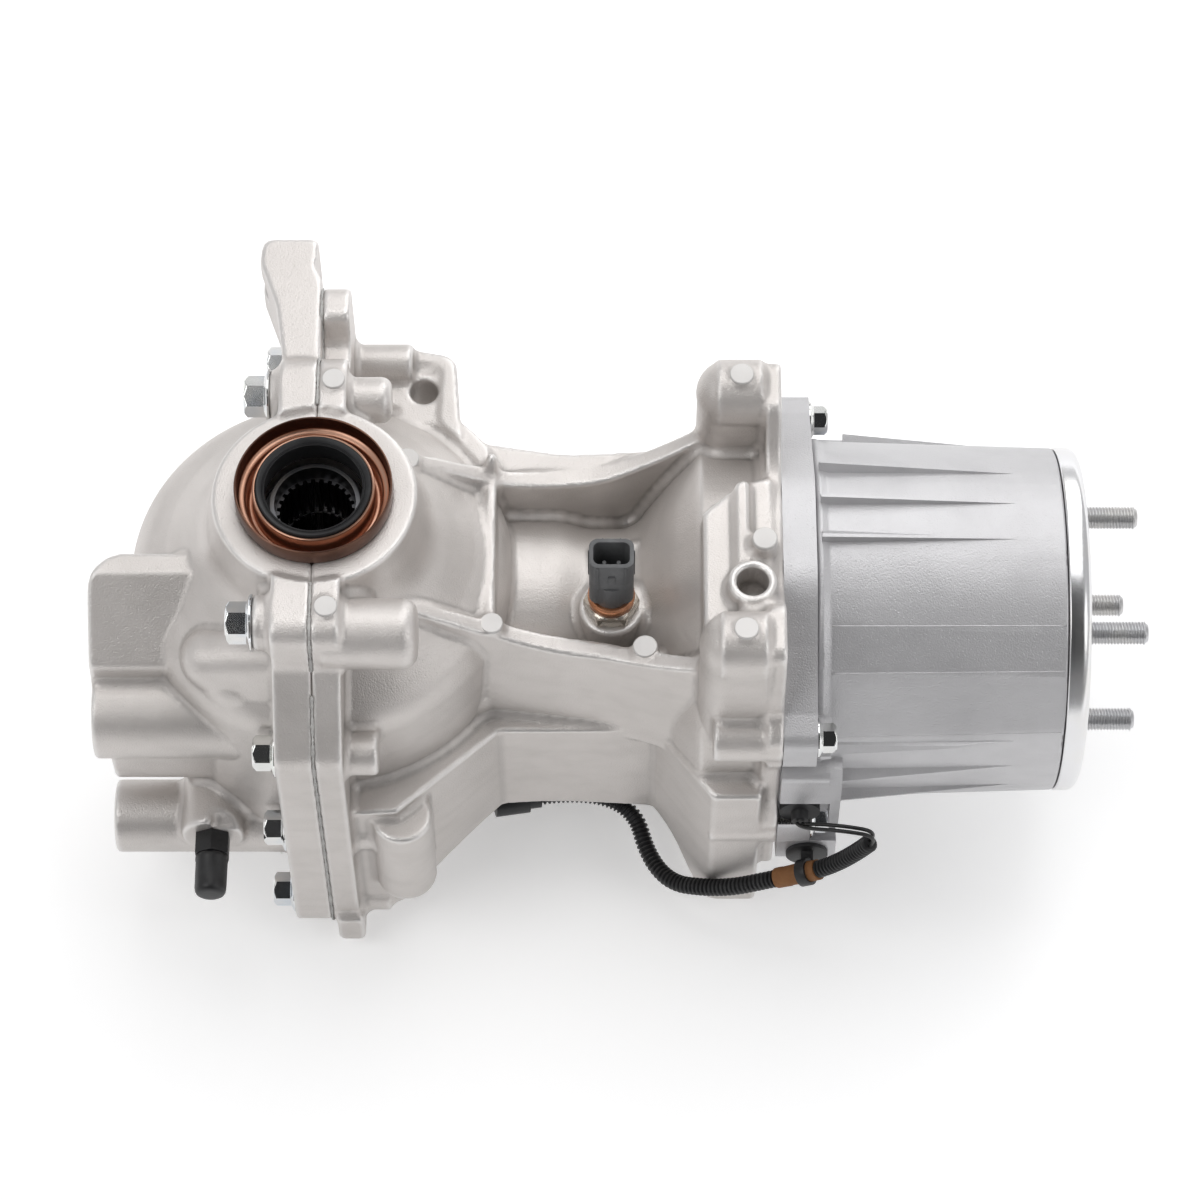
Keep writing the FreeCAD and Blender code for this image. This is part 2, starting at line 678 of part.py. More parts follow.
def towers():
    """Four threaded bosses on the corners of the bell."""
    shapes = []
    for y in (-tower_y, tower_y):
        for z in (-tower_z, tower_z):
            barrel = rod("x", tower_r, tower_start_x + 8, tower_end_x, y, z)
            nose = Part.makeSphere(tower_r, V(tower_start_x + tower_r, y, z))
            inward = -1 if y > 0 else 1
            outer_y, inner_y = y - inward * tower_r, y + inward * (tower_r - 1)
            plan = [(tower_end_x, outer_y, 0), (tower_start_x + 0.5, outer_y, tower_r - 1),
                    (tower_start_x + 0.5, inner_y, tower_r - 2), (tower_end_x, inner_y, 0)]
            foot = slab("z", plan, *sorted((z, 20 if z > 0 else -20)))
            shapes += [barrel, nose, foot]
            pin_z = sorted((z, (tower_z + tower_r + 1) * (1 if z > 0 else -1)))
            shapes.append(rod("z", 4.8, pin_z[0], pin_z[1], tower_start_x + 17.5, y))
    return shapes


def main_housing():
    shell = drum(0, 0, boss_r).common(half_space(1))
    rim = turned("z", [(66, rim_low_z - 12, 0), (rim_r, rim_low_z - 12, 0), (rim_r, rim_high_z, 1.5),
                       (rim_r - 7, rim_high_z, 1), (66, rim_high_z - 6, 0)])
    rim = rim.common(box((0, 65), (10, 150), (0, 100)))
    flange = slab("x", case_outline(), 0, case_flange)
    neck = turned("x", [(0, neck_start_x, 0), (56, neck_start_x, 0), (neck_r + 2, 66, 20), (neck_r, 92, 30),
                        (neck_waist_r, 104, 20), (neck_waist_r, 122, 12), (58, bell_x, 8),
                        (bell_r - 2, bell_x + 8, 5), (bell_r, bell_x + 10, 0), (bell_r, coupling_joint_x - 8, 2),
                        (bell_r + 4, coupling_joint_x - 8, 0), (bell_r + 4, coupling_joint_x, 0),
                        (0, coupling_joint_x, 0)])
    fin = slab("x", [(-33, 30, 0), (-33, 53, 2), (34, 55, 2), (40, 64, 2), (43, 52, 1), (43, 30, 0)], 64, 68)
    pods = [far_end_pod(13.5, 40, -52.5, 84), far_end_pod(9.0, 28, 49, 87), rod("x", 8, 4, 34, *case_bolts[3]),
            rod("x", lug_r, 4, 24, *cap_bolts[2]), rod("x", lug_r, 4, 24, *cap_bolts[3])]
    pods += [rod("x", 8.5, 4, 24, y, z) for y, z in case_bolts[:3] + case_bolts[4:]]
    front_foot = box((2, 13), (-96, -72), (-98, -80))
    plan_boss = rod("z", 12, -60, -6, 31, -84)
    coupling_bosses = [rod("x", coupling_lug_r, 152, coupling_joint_x, y, z)
                       for y in (-coupling_bolt_y, coupling_bolt_y) for z in (-coupling_bolt_z, coupling_bolt_z)]
    ears = slab("x", bell_outline(), coupling_joint_x - bell_flange, coupling_joint_x)
    sensor_pad = joined(rod("z", 12.5, 20, sensor_seat_z, sensor_x, sensor_y),
                        slab("z", [(sensor_x - 9, sensor_y, 0), (sensor_x + 12, sensor_y, 0),
                                   (sensor_x + 12, 16, 8), (sensor_x - 7, 16, 8)], 25, sensor_seat_z - 4))
    hollow_post = rod("z", 9.4, 60, 86, 166.5, -30.5)
    pins = [rod("z", 4.9, 60, 72, 33.5, 31.5), rod("z", 4.6, 30, 56, 66.8, -32.5), rod("z", 4.9, 30, 51, 126, -40),
            rod("z", 4.9, 60, 85, 171.5, -11.5), rod("z", 4.6, 90, 101.3, 6, -50), rod("z", 4.6, 90, 101.3, 6, 50)]
    panel = slab("z", [(148, -46, 0), (148, 4, 2), (161, 16, 2), (161, -46, 0)], 50, 77.5)
    strip = slab("z", [(160.5, -34, 0), (160.5, 16, 1), (166, 19, 1), (166, -34, 0)], 50, 80)
    strip = joined(strip, slab("z", [(164, -46, 0), (164, 19, 0), (175, 22, 2), (175, -46, 0)], 50, 75))
    body = joined(shell, flange, neck, rim, fin, web(1), web(-1), neck_deck(), far_shelf(), mount_ear(), front_foot,
                  plan_boss, ears, sensor_pad, hollow_post, panel, strip, *pods, *coupling_bosses, *towers(), *pins)
    return less(body, *housing_cuts())


def far_end_pod(radius, end, y, z):
    """Round pod for a bolt's thread, rounded at its closed end."""
    pod = turned("x", [(0, 4, 0), (radius, 4, 0), (radius, end, radius * 0.45), (0, end, 0)])
    pod.translate(V(0, y, z))
    return pod


def bell_outline():
    """Joint face of the bell, (y, z, corner radius)."""
    corners = []
    quarter = [(bell_r + 4, 14, 12), (coupling_bolt_y + 8, coupling_bolt_z - 9, 6),
               (coupling_bolt_y + 8, coupling_bolt_z + 8, 7), (coupling_bolt_y - 2, coupling_bolt_z + 14, 6),
               (tower_y + 10, tower_z + 9, 6), (tower_y - 12, tower_z + 9, 6), (30, bell_r + 2, 20)]
    for y_sign, z_sign in ((1, 1), (-1, 1), (-1, -1), (1, -1)):
        corner = [(y * y_sign, z * z_sign, bend) for y, z, bend in quarter]
        corners += corner if y_sign * z_sign > 0 else list(reversed(corner))
    return corners


def housing_cuts():
    """Everything that is bored or cleared out of the main housing."""
    head_end = head_bearing_x + head_bearing_width
    tail_end = tail_bearing_x + tail_bearing_width
    nut_end = tail_end + 14
    bores = [rod("x", pinion_head()[1][0] + 8, 30, head_bearing_x),
             rod("x", head_bearing_r + running, head_bearing_x, head_end),
             rod("x", tail_bearing_r - 4, head_end - 1, tail_bearing_x + 1),
             rod("x", tail_bearing_r + running, tail_bearing_x, tail_end),
             rod("x", tail_bearing_r - 3, tail_end - 1, nut_end),
             rod("x", 26.0 + running, nut_end - 1, 156),
             rod("x", 62.0, 155, coupling_joint_x + 1)]
    threads = [rod("x", tower_thread_r, tower_end_x - tower_thread_depth, coupling_joint_x + 1, y, z)
               for y in (-tower_y, tower_y) for z in (-tower_z, tower_z)]
    threads += [rod("x", coupling_bolt_r + bolt_gap, 156, coupling_joint_x + 1, y, z)
                for y in (-coupling_bolt_y, coupling_bolt_y) for z in (-coupling_bolt_z, coupling_bolt_z)]
    slots = [box((tower_end_x, coupling_joint_x - bell_flange), sorted((y * 0.80, y * 1.4)),
                 sorted((z * 0.86, z * 1.3))) for y in (-tower_y, tower_y) for z in (-tower_z, tower_z)]
    ports = [rod("z", sensor_shank_r + bolt_gap, 24, 60, sensor_x, sensor_y), rod("z", 6.1, 70, 90, 166.5, -30.5),
             rod("z", 5.5, 10, 60, 38.5, 76), box((170, 190), (-64, -54), (-40, -20))]
    return ([gear_room()] + bores + threads + slots + ports + bolt_holes(cap_bolts, cap_bolt_r, -1, 26)
            + bolt_holes(case_bolts, case_bolt_r, -1, 22)
            + [rod("x", dowel_r + running, -1, 6, y, z) for y, z in dowels])


def coupling_housing():
    joint = coupling_joint_x
    outside = turned("x", [(0, joint, 0), (bell_r + 2, joint, 0), (bell_r + 2, joint + coupling_flange, 0),
                           (coupling_root_r + 2, joint + coupling_flange, 2),
                           (coupling_root_r, joint + coupling_flange + 5, 4),
                           (coupling_nose_r, coupling_nose_x - seat_gap, 1), (0, coupling_nose_x - seat_gap, 0)])
    outline = [(y, z, bend) for y, z, bend in coupling_outline()]
    flange = slab("x", outline, joint, joint + coupling_flange)
    ribs = [rib(angle) for angle in rib_angles]
    port = slab("x", [(-40, port_z[1], 0), (-port_y, port_z[1] - 10, 4), (-port_y, port_z[0] + 4, 4),
                      (-port_y + 6, port_z[0], 4), (-30, port_z[0] + 6, 0)], port_x[0], port_x[1])
    body = joined(outside, flange, port, *ribs)
    facets = [flat(128.5, 7.5), flat(147.5, 11.5)]
    low, high = input_bearing_x, input_bearing_x + input_bearing_width
    cavity = ring_section("x", [(0, joint - 1), (62.0, joint - 1), (62.0, joint + 8), (coupling_bore_r, joint + 12),
                                (coupling_bore_r, low - 3.4), (input_bearing_r - 4, low - 2),
                                (input_bearing_r - 4, low), (input_bearing_r + running, low),
                                (input_bearing_r + running, coupling_nose_x), (0, coupling_nose_x)])
    holes = [rod("x", coupling_bolt_r + bolt_gap, joint - 1, high, y, z)
             for y in (-coupling_bolt_y, coupling_bolt_y) for z in (-coupling_bolt_z, coupling_bolt_z)]
    seats = [rod("x", coupling_lug_r + 0.5, joint + coupling_flange, joint + coupling_flange + 14, y, z)
             for y in (-coupling_bolt_y, coupling_bolt_y) for z in (-coupling_bolt_z, coupling_bolt_z)]
    grommet_hole = rod("y", grommet_r - 2, -port_y - 2, -62, grommet_x, grommet_z)
    recess = box((joint - 1, 199), (-port_y - 1, -port_y + 5), (-36, -9))
    return less(body, cavity, grommet_hole, recess, *facets, *holes, *seats)


def coupling_outline():
    quarter = [(bell_r + 2, 14, 12), (coupling_bolt_y + 8, coupling_bolt_z - 9, 6),
               (coupling_bolt_y + 8, coupling_bolt_z + 8, 7), (coupling_bolt_y - 4, coupling_bolt_z + 12, 8),
               (44, 59, 30), (22, bell_r + 2, 30)]
    corners = []
    for y_sign, z_sign in ((1, 1), (-1, 1), (-1, -1), (1, -1)):
        corner = [(y * y_sign, z * z_sign, bend) for y, z, bend in quarter]
        corners += corner if y_sign * z_sign > 0 else list(reversed(corner))
    return corners


def rib(angle):
    """Wedge rib that dies out towards the nose; its angle runs from +Y towards +Z."""
    root = coupling_root_r - 3
    crest = coupling_root_r + rib_height
    base = [V(rib_start_x, -rib_width, root), V(rib_start_x, rib_width, root), V(rib_start_x, 1.5 - rib_width, crest),
            V(rib_start_x, -rib_width, crest)]
    end = [V(rib_end_x, -1.0, coupling_nose_r - 4), V(rib_end_x, 0.6, coupling_nose_r - 4),
           V(rib_end_x, 0, coupling_nose_r - 0.3), V(rib_end_x, -1.0, coupling_nose_r - 0.3)]
    wires = [Part.makePolygon(corners + [corners[0]]) for corners in (base, end)]
    return spun(Part.makeLoft(wires, True, True), "x", angle - 90)


def flat(angle, half_angle):
    """Cutter for a flat along the ribbed housing, tapered like it."""
    chord = coupling_root_r * math.cos(math.radians(half_angle))
    cutter = box((coupling_joint_x + coupling_flange + 6, coupling_nose_x + 1), (-40, 40),
                 (chord, coupling_root_r + 20))
    slope = math.degrees(math.atan2(coupling_root_r - coupling_nose_r, coupling_nose_x - coupling_joint_x))
    cutter.rotate(V(coupling_joint_x + 18, 0, coupling_root_r), AXES["y"], slope)
    return spun(cutter, "x", angle - 90)


# Coupling insides

def input_plate():
    back = axle_to_plate_face - plate_t
    sleeve_end = input_bearing_x - 4
    body = turned("x", [(0, axle_to_plate_face, 0), (plate_r, axle_to_plate_face, 4), (plate_r, back, 0.8),
                        (input_bearing_bore_r + 3, back, 0),
                        (input_bearing_bore_r + 3, input_bearing_x + input_bearing_width, 0),
                        (input_bearing_bore_r, input_bearing_x + input_bearing_width, 0),
                        (input_bearing_bore_r, sleeve_end, 0), (24, sleeve_end, 0), (24, back - 4, 3), (0, back - 4, 0)])
    holes = around(rod("x", stud_seat_r + running, back - 6, axle_to_plate_face + 1, 0, stud_circle_r), "x",
                   stud_count, stud_first_angle - 90)
    centre = rod("x", 12, back - 6, axle_to_plate_face + 1)
    return less(body, centre, *holes)


def input_studs():
    back = axle_to_plate_face - plate_t
    stud = joined(rod("x", stud_seat_r, back, axle_to_plate_face, 0, stud_circle_r),
                  rod("x", stud_r, axle_to_plate_face, axle_to_plate_face + stud_stand - 1, 0, stud_circle_r),
                  taper("x", stud_r, stud_r - 1, axle_to_plate_face + stud_stand - 1, axle_to_plate_face + stud_stand,
                        0, stud_circle_r))
    return group(around(stud, "x", stud_count, stud_first_angle - 90))


drum_front_x = input_bearing_x - 4
drum_back_x = 206.0
pack_front_x = drum_front_x - 5


def clutch_drum():
    """Bell that turns with the input plate and drives the outer clutch plates."""
    shell = ring_section("x", [(clutch_drum_r, drum_back_x), (clutch_drum_r, drum_front_x),
                               (20, drum_front_x), (20, drum_front_x - 4),
                               (clutch_drum_r - clutch_drum_wall, drum_front_x - 4),
                               (clutch_drum_r - clutch_drum_wall, drum_back_x)])
    slot = box((drum_back_x - 1, drum_back_x + 12), (-3, 3), (clutch_drum_r - 6, clutch_drum_r + 2))
    return less(shell, *around(slot, "x", 8))


def clutch_plates(outer, inner, first):
    pitch = 2 * (clutch_plate_t + clutch_plate_gap)
    offset = first * (clutch_plate_t + clutch_plate_gap)
    plates = []
    for k in range(clutch_pairs):
        high = pack_front_x - offset - k * pitch
        plates.append(tube("x", outer, inner, high - clutch_plate_t, high))
    return group(plates)


pack_back_x = pack_front_x - 2 * clutch_pairs * (clutch_plate_t + clutch_plate_gap)


def main_cam():
    high = pack_back_x - 0.6
    return tube("x", clutch_drum_r - clutch_drum_wall - 1, 18.0, high - 5, high)


def pilot_cam():
    high = pack_back_x - 0.6 - 5 - 0.4
    plate = tube("x", 36.0, 18.0, high - 4, high)
    return less(plate, *around(rod("x", 3.0, high - 1.5, high + 1, 0, 27), "x", 6))


def armature():
    high = pack_back_x - 0.6 - 5 - 0.4 - 4 - 1.0
    return tube("x", clutch_drum_r - clutch_drum_wall - 1, 38.0, high - 3, high)


def coil():
    """Ring magnet held by the housing behind the drum."""
    low = coupling_joint_x + 5
    reach = coupling_bore_r - seat_gap
    return ring_section("x", [(34, low), (reach, low), (reach, low + 17), (34, low + 17)])


def coupling_hub():
    """Sleeve on the pinion's spline that carries the inner clutch plates."""
    return ring_section("x", [(16, 157), (16, 196), (16, pack_back_x - 0.3), (hub_r, pack_back_x - 0.3),
                              (hub_r, pack_front_x), (pinion_spline_r + running, pack_front_x),
                              (pinion_spline_r + running, 157)])


def seal_ring(axis, outer, inner, low, high):
    return tube(axis, outer, inner, low, high)


def output_seal_case():
    """Pressed steel case of the output seal, with a deep trough round the lip."""
    low = boss_face_z - seal_depth
    high = boss_face_z + seal_stand
    seat = seal_r - 1.5
    return ring_section("z", [(seat, low), (seat, boss_face_z), (seal_r, boss_face_z), (seal_r, high),
                              (seal_r - 1.6, high), (seal_r - 2.2, boss_face_z + 2), (seal_lip_outer_r + 1.2, low + 4),
                              (seal_lip_outer_r + 1.2, high - 2.2), (seal_lip_outer_r, high - 2.2),
                              (seal_lip_outer_r, low)])


def output_seal_lip():
    low = boss_face_z - seal_depth
    high = boss_face_z + seal_stand
    return ring_section("z", [(seal_lip_outer_r - running, low + 2), (seal_lip_outer_r - running, high - 1.4),
                              (seal_lip_outer_r - 2.0, high - 0.6), (seal_lip_r + 0.6, high - 1.6),
                              (seal_lip_r, high - 4), (seal_lip_r + 0.8, low + 2)])


# Fasteners

def bolt(axis, radius, flats, seat, head, tip, a, b):
    """Hexagon bolt with its washer, head towards the low side of a seat."""
    direction = 1 if tip > seat else -1
    washer_low, washer_high = sorted((seat, seat - direction * 2.2))
    head_low, head_high = sorted((seat - direction * 2.2, seat - direction * (2.2 + head)))
    shank_low, shank_high = sorted((seat - direction * 2.2, tip))
    return joined(rod(axis, flats * 0.78, washer_low, washer_high, a, b), hexagon(axis, flats, head_low, head_high, a, b),
                  rod(axis, radius, shank_low, shank_high, a, b))


def case_bolt_set():
    return group(bolt("x", case_bolt_r, case_bolt_flats, -cover_flange, 7.0, 20, y, z) for y, z in case_bolts)


def cap_bolt_set():
    return group(bolt("x", cap_bolt_r, cap_bolt_flats, seat, 8.0, 22, y, z)
                 for seat, (y, z) in zip(cap_seats, cap_bolts))


def coupling_bolt_set():
    seat = coupling_joint_x + coupling_flange
    return group(bolt("x", coupling_bolt_r, coupling_bolt_flats, seat, 5.5, 158, y, z)
                 for y in (-coupling_bolt_y, coupling_bolt_y) for z in (-coupling_bolt_z, coupling_bolt_z))


def case_dowels():
    return group(tube("x", dowel_r, dowel_r - 1.5, -5.8, 5.8, y, z) for y, z in dowels)


# Sensor, breather and lead

def sensor_body():
    low = sensor_seat_z
    return joined(hexagon("z", sensor_flats, low, low + 7, sensor_x, sensor_y),
                  rod("z", sensor_shank_r, low - 15, low, sensor_x, sensor_y),
                  rod("z", 8.0, low + 7, low + 11, sensor_x, sensor_y))


def sensor_connector():
    low = sensor_seat_z + 11
    body = joined(rod("z", 7.2, low, low + 14, sensor_x, sensor_y),
                  slab("z", [(sensor_x - 8.6, sensor_y - 6.4, 3.5), (sensor_x + 8.6, sensor_y - 6.4, 3.5),
                             (sensor_x + 8.6, sensor_y + 6.4, 3.5), (sensor_x - 8.6, sensor_y + 6.4, 3.5)],
                       low + 3, low + 31))
    mouth = slab("z", [(sensor_x - 7, sensor_y - 4.8, 2.5), (sensor_x + 7, sensor_y - 4.8, 2.5),
                       (sensor_x + 7, sensor_y + 4.8, 2.5), (sensor_x - 7, sensor_y + 4.8, 2.5)],
                 low + 12, low + 32)
    pins = [rod("z", 0.8, low + 11, low + 24, sensor_x + dx, sensor_y) for dx in (-2.8, 2.8)]
    return joined(less(body, mouth), *pins)


def breather_fitting():
    seat = breather_seat_y
    return joined(hexagon("y", 13, seat - 9, seat, breather_x, breather_z),
                  rod("y", 4.0 - running, seat, seat + 12, breather_x, breather_z),
                  rod("y", 4.0, seat - 20, seat - 9, breather_x, breather_z))


def breather_cap():
    return less(rod("y", 6.6, breather_tip_y, breather_seat_y - 9.3, breather_x, breather_z),
                rod("y", 4.0 + running, breather_seat_y - 21, breather_seat_y - 9, breather_x, breather_z))


def drain_plug():
    """Socket-headed plug in the back of the cover."""
    head = joined(rod("x", 10.5, -drum_r - 3.6, -drum_r - 0.6, drain_y, drain_z),
                  rod("x", 8, -drum_r - 1, -drum_r + 3, drain_y, drain_z))
    return less(head, hexagon("x", 8, -drum_r - 4, -drum_r - 1.2, drain_y, drain_z))


def grommet():
    face = -port_y + 5
    return joined(rod("y", grommet_r, face - 4, face - running, grommet_x, grommet_z),
                  rod("y", grommet_r - 2 - running, face - 1, face + 8, grommet_x, grommet_z),
                  rod("y", 3.4, face - 8, face - 4, grommet_x, grommet_z))


def swept_tube(points, bends, radius, name):
    """Tube along straight runs joined by arcs; prints the figures that are read back from it."""
    points = [V(*point) for point in points]
    path = rounded_path(points, [0.0] + list(bends) + [0.0], False)
    start = (points[1] - points[0]).normalize()
    section = Part.Wire(Part.makeCircle(radius, points[0], start))
    solid = path.makePipeShell([section], True, False)
    print(name, "bend radii", bends, "length", round(path.Length, 1),
          "volume over section times length", round(solid.Volume / (math.pi * radius ** 2 * path.Length), 4))
    return solid


conduit_start = V(*conduit_route[0])
conduit_heading = (V(*conduit_route[1]) - conduit_start).normalize()


def lead_wires():
    """Two wires from the grommet, over the top and into the conduit's mouth."""
    wires = []
    for offset in (-1.1, 1.1):
        aside = V(0, offset, 0)
        end = conduit_start - conduit_heading * 0.3 + aside
        corner = conduit_start - conduit_heading * 11.0 + aside
        route = [V(grommet_x + offset, -81.8, grommet_z), V(188, -87, -9) + aside, corner, end]
        wires.append(swept_tube([tuple(point) for point in route], wire_bends, wire_r, "wire"))
    return group(wires)


def along_clip_run(distance):
    """Point on the straight run of the conduit that passes the clip."""
    heading = (V(*conduit_route[2]) - V(*conduit_route[1])).normalize()
    return V(*conduit_route[1]) + heading * distance, heading


def lead_sleeve():
    """Tape wound round the conduit where the clip holds it."""
    start, heading = along_clip_run(9.3)
    return less(Part.makeCylinder(sleeve_r, 20, start, heading),
                Part.makeCylinder(conduit_r + running, 22, start - heading, heading))


def lead_clip():
    """Clip on a round base, with a strap round the tape."""
    start, heading = along_clip_run(13.6)
    ring = less(Part.makeCylinder(sleeve_r + 1.2, 4.4, start, heading),
                Part.makeCylinder(sleeve_r + running, 6, start - heading * 0.8, heading))
    base = rod("y", 8.4, -port_y - 1.6, -port_y, clip_x, clip_z)
    stem = box((clip_x - 2.4, clip_x + 2.4), (-84.0, -port_y - 1.0), (clip_z - 3.5, clip_z + 3.5))
    stem = less(stem, Part.makeCylinder(sleeve_r + 0.6, 40, start - heading * 20, heading))
    return joined(base, stem, ring)


def lead_plug():
    """Plug at the far end of the lead, under the edge of the neck."""
    end = V(*conduit_route[-1])
    heading = (end - V(*conduit_route[-2])).normalize()
    nose = end + heading * running
    return joined(Part.makeCylinder(4.6, 6, nose, heading), Part.makeCylinder(6.0, 14, nose + heading * 5, heading))


def move_to_row_frame(shape):
    placed = shape.copy()
    placed.translate(V(-axle_to_plate_face, 0, 0))
    return placed


def tail_cone():
    return bearing_cone("x", tail_bearing_r, tail_bearing_bore_r, tail_bearing_x, tail_bearing_width, 14)


def build():
    cup = bearing_cup("z", axle_bearing_r, axle_bearing_bore_r, axle_bearing_z, axle_bearing_width)
    cone = bearing_cone("z", axle_bearing_r, axle_bearing_bore_r, axle_bearing_z, axle_bearing_width, 16)
    head_cup = bearing_cup("x", head_bearing_r, head_bearing_bore_r, head_bearing_x, head_bearing_width)
    tail_cup = bearing_cup("x", tail_bearing_r, tail_bearing_bore_r, tail_bearing_x, tail_bearing_width)
    outer_ring, inner_ring, balls = input_bearing()
    far_spider = spider_gear()
    upper_gear = side_gear()
    return {
        "main_housing": main_housing(),
        "rear_cover": rear_cover(),
        "coupling_housing": coupling_housing(),
        "case_bolts": case_bolt_set(),
        "bearing_cap_bolts": cap_bolt_set(),
        "coupling_bolts": coupling_bolt_set(),
        "case_dowels": case_dowels(),
        "upper_seal_case": output_seal_case(),
        "upper_seal_lip": output_seal_lip(),
        "lower_seal_case": mirrored_z(output_seal_case()),
        "lower_seal_lip": mirrored_z(output_seal_lip()),
        "upper_bearing_cup": cup,
        "upper_bearing_cone": cone,
        "lower_bearing_cup": mirrored_z(cup),
        "lower_bearing_cone": mirrored_z(cone),
        "differential_case": differential_case(),
        "ring_gear": ring_gear(),
        "ring_gear_bolts": ring_gear_bolts(),
        "cross_pin": cross_pin(),
        "cross_pin_lock": cross_pin_lock(),
        "far_spider_gear": far_spider,
        "near_spider_gear": spun(far_spider, "z", 180),
        "thrust_washers": thrust_washers(),
        "upper_side_gear": upper_gear,
        "lower_side_gear": spun(upper_gear, "y", 180),
        "upper_shaft_clip": shaft_clip(),
        "lower_shaft_clip": spun(shaft_clip(), "y", 180),
        "drive_pinion": drive_pinion(),
        "head_bearing_cup": head_cup,
        "head_bearing_cone": bearing_cone("x", head_bearing_r, head_bearing_bore_r, head_bearing_x,
                                          head_bearing_width, 15),
        "tail_bearing_cup": tail_cup,
        "tail_bearing_cone": tail_cone(),
        "pinion_spacer": pinion_spacer(),
        "pinion_nut": pinion_nut(),
        "pinion_seal": seal_ring("x", 26.0, 16.0 + running, 147, 155),
        "coupling_hub": coupling_hub(),
        "inner_plates": clutch_plates(clutch_drum_r - clutch_drum_wall - 3, hub_r + running, 0),
        "outer_plates": clutch_plates(clutch_drum_r - clutch_drum_wall - running, hub_r + 3, 1),
        "clutch_drum": clutch_drum(),
        "main_cam": main_cam(),
        "pilot_cam": pilot_cam(),
        "armature": armature(),
        "coil": coil(),
        "input_plate": input_plate(),
        "input_studs": input_studs(),
        "input_bearing_outer_ring": outer_ring,
        "input_bearing_balls": balls,
        "input_bearing_inner_ring": inner_ring,
        "input_seal": seal_ring("x", input_bearing_r, input_bearing_bore_r + 3 + running, 284.3, 288.5),
        "sensor_body": sensor_body(),
        "sensor_connector": sensor_connector(),
        "breather_fitting": breather_fitting(),
        "breather_cap": breather_cap(),
        "lead_grommet": grommet(),
        "lead_conduit": swept_tube(conduit_route, conduit_bends, conduit_r, "conduit"),
        "lead_wires": lead_wires(),
        "lead_sleeve": lead_sleeve(),
        "lead_clip": lead_clip(),
        "lead_plug": lead_plug(),
        "drain_plug": drain_plug(),
    }


os.makedirs("parts", exist_ok=True)
for node, shape in build().items():
    move_to_row_frame(shape).exportStep("parts/" + node + ".step")
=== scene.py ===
"""Looks of the rear differential: castings, fasteners, seals, sensor and lead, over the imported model."""
import json
import math
import bpy
import bmesh
import numpy as np
from mathutils import Matrix, Vector
from mathutils.bvhtree import BVHTree


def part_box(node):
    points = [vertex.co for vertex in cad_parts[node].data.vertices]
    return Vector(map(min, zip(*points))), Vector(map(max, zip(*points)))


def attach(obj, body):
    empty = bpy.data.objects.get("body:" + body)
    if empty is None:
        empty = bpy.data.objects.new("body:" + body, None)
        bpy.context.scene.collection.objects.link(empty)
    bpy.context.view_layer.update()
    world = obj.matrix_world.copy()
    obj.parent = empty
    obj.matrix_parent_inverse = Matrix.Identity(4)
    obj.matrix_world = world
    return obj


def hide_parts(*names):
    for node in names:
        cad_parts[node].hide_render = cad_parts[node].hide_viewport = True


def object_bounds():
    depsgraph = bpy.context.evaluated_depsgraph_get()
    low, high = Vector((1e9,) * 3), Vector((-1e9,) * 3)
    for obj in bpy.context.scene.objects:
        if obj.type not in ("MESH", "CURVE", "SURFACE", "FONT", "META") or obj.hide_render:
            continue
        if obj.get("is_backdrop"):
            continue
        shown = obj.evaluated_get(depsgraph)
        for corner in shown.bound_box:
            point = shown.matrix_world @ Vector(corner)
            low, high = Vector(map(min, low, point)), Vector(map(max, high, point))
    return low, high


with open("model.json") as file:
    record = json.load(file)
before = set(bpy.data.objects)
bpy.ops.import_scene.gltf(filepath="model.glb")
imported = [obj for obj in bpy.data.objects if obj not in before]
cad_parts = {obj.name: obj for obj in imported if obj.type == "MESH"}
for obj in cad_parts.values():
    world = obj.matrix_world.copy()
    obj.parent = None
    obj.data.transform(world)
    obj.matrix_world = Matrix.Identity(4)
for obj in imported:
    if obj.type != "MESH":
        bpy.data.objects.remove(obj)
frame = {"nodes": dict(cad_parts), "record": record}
cad_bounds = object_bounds()
nodes = frame["nodes"]

MM = 0.001

# Casting surfaces
voxel = 0.8 * MM
fillet = 1.8 * MM
pull_near = 0.25 * MM
pull_far = 0.55 * MM
ease_passes = 2
fillet_passes = 14
hollow_passes = 10
ribbed_edge = 0.55 * MM
weld = 0.002 * MM

# Bolts by the width across their flats: height of the head and radius of the shank, in millimetres
head_height = {12: 7.0, 14: 8.0, 10: 5.5}
shank_radius = {12: 4.0, 14: 5.0, 10: 3.0}
bolt_flange = 2.2 * MM
stud_thread_length = 23.4 * MM

# Threads (pitch, depth) and corrugation
stud_thread = (1.25 * MM, 0.62 * MM)
bolt_thread = (1.25 * MM, 0.55 * MM)
conduit_pitch = 1.95 * MM
conduit_crest = 3.6 * MM
conduit_valley = 0.76  # share of the crest

# Tape round the lead: where it starts past the bend, its length, the width of a turn, radius, thickness
tape_from, tape_length, tape_turn = 8.6 * MM, 20.0 * MM, 7.0 * MM
tape_r, tape_thickness = 4.08 * MM, 0.22 * MM
wire_r = 0.8 * MM

# Lead, repeated from the part's source, from the grommet end
axle_x = -298.0
conduit_route = [(214.5, -92.0, -15.1), (203.9, -89.5, -40.9), (180.6, -87.5, -56.6), (157.0, -85.5, -72.5),
                 (131.0, -74.0, -88.0), (120.0, -34.0, -80.0), (84.0, -41.0, -77.0)]
wire_routes = [[(187.5 + side, -81.9, -18.5), (187.6 + side, -84.6, -14.5), (190.5, -87.6 + side, -9.2),
                (204.0, -91.4 + side, -3.4), (217.6, -92.6 + side, -6.4), (214.5, -92.0 + side, -15.1)]
               for side in (-1.1, 1.1)]


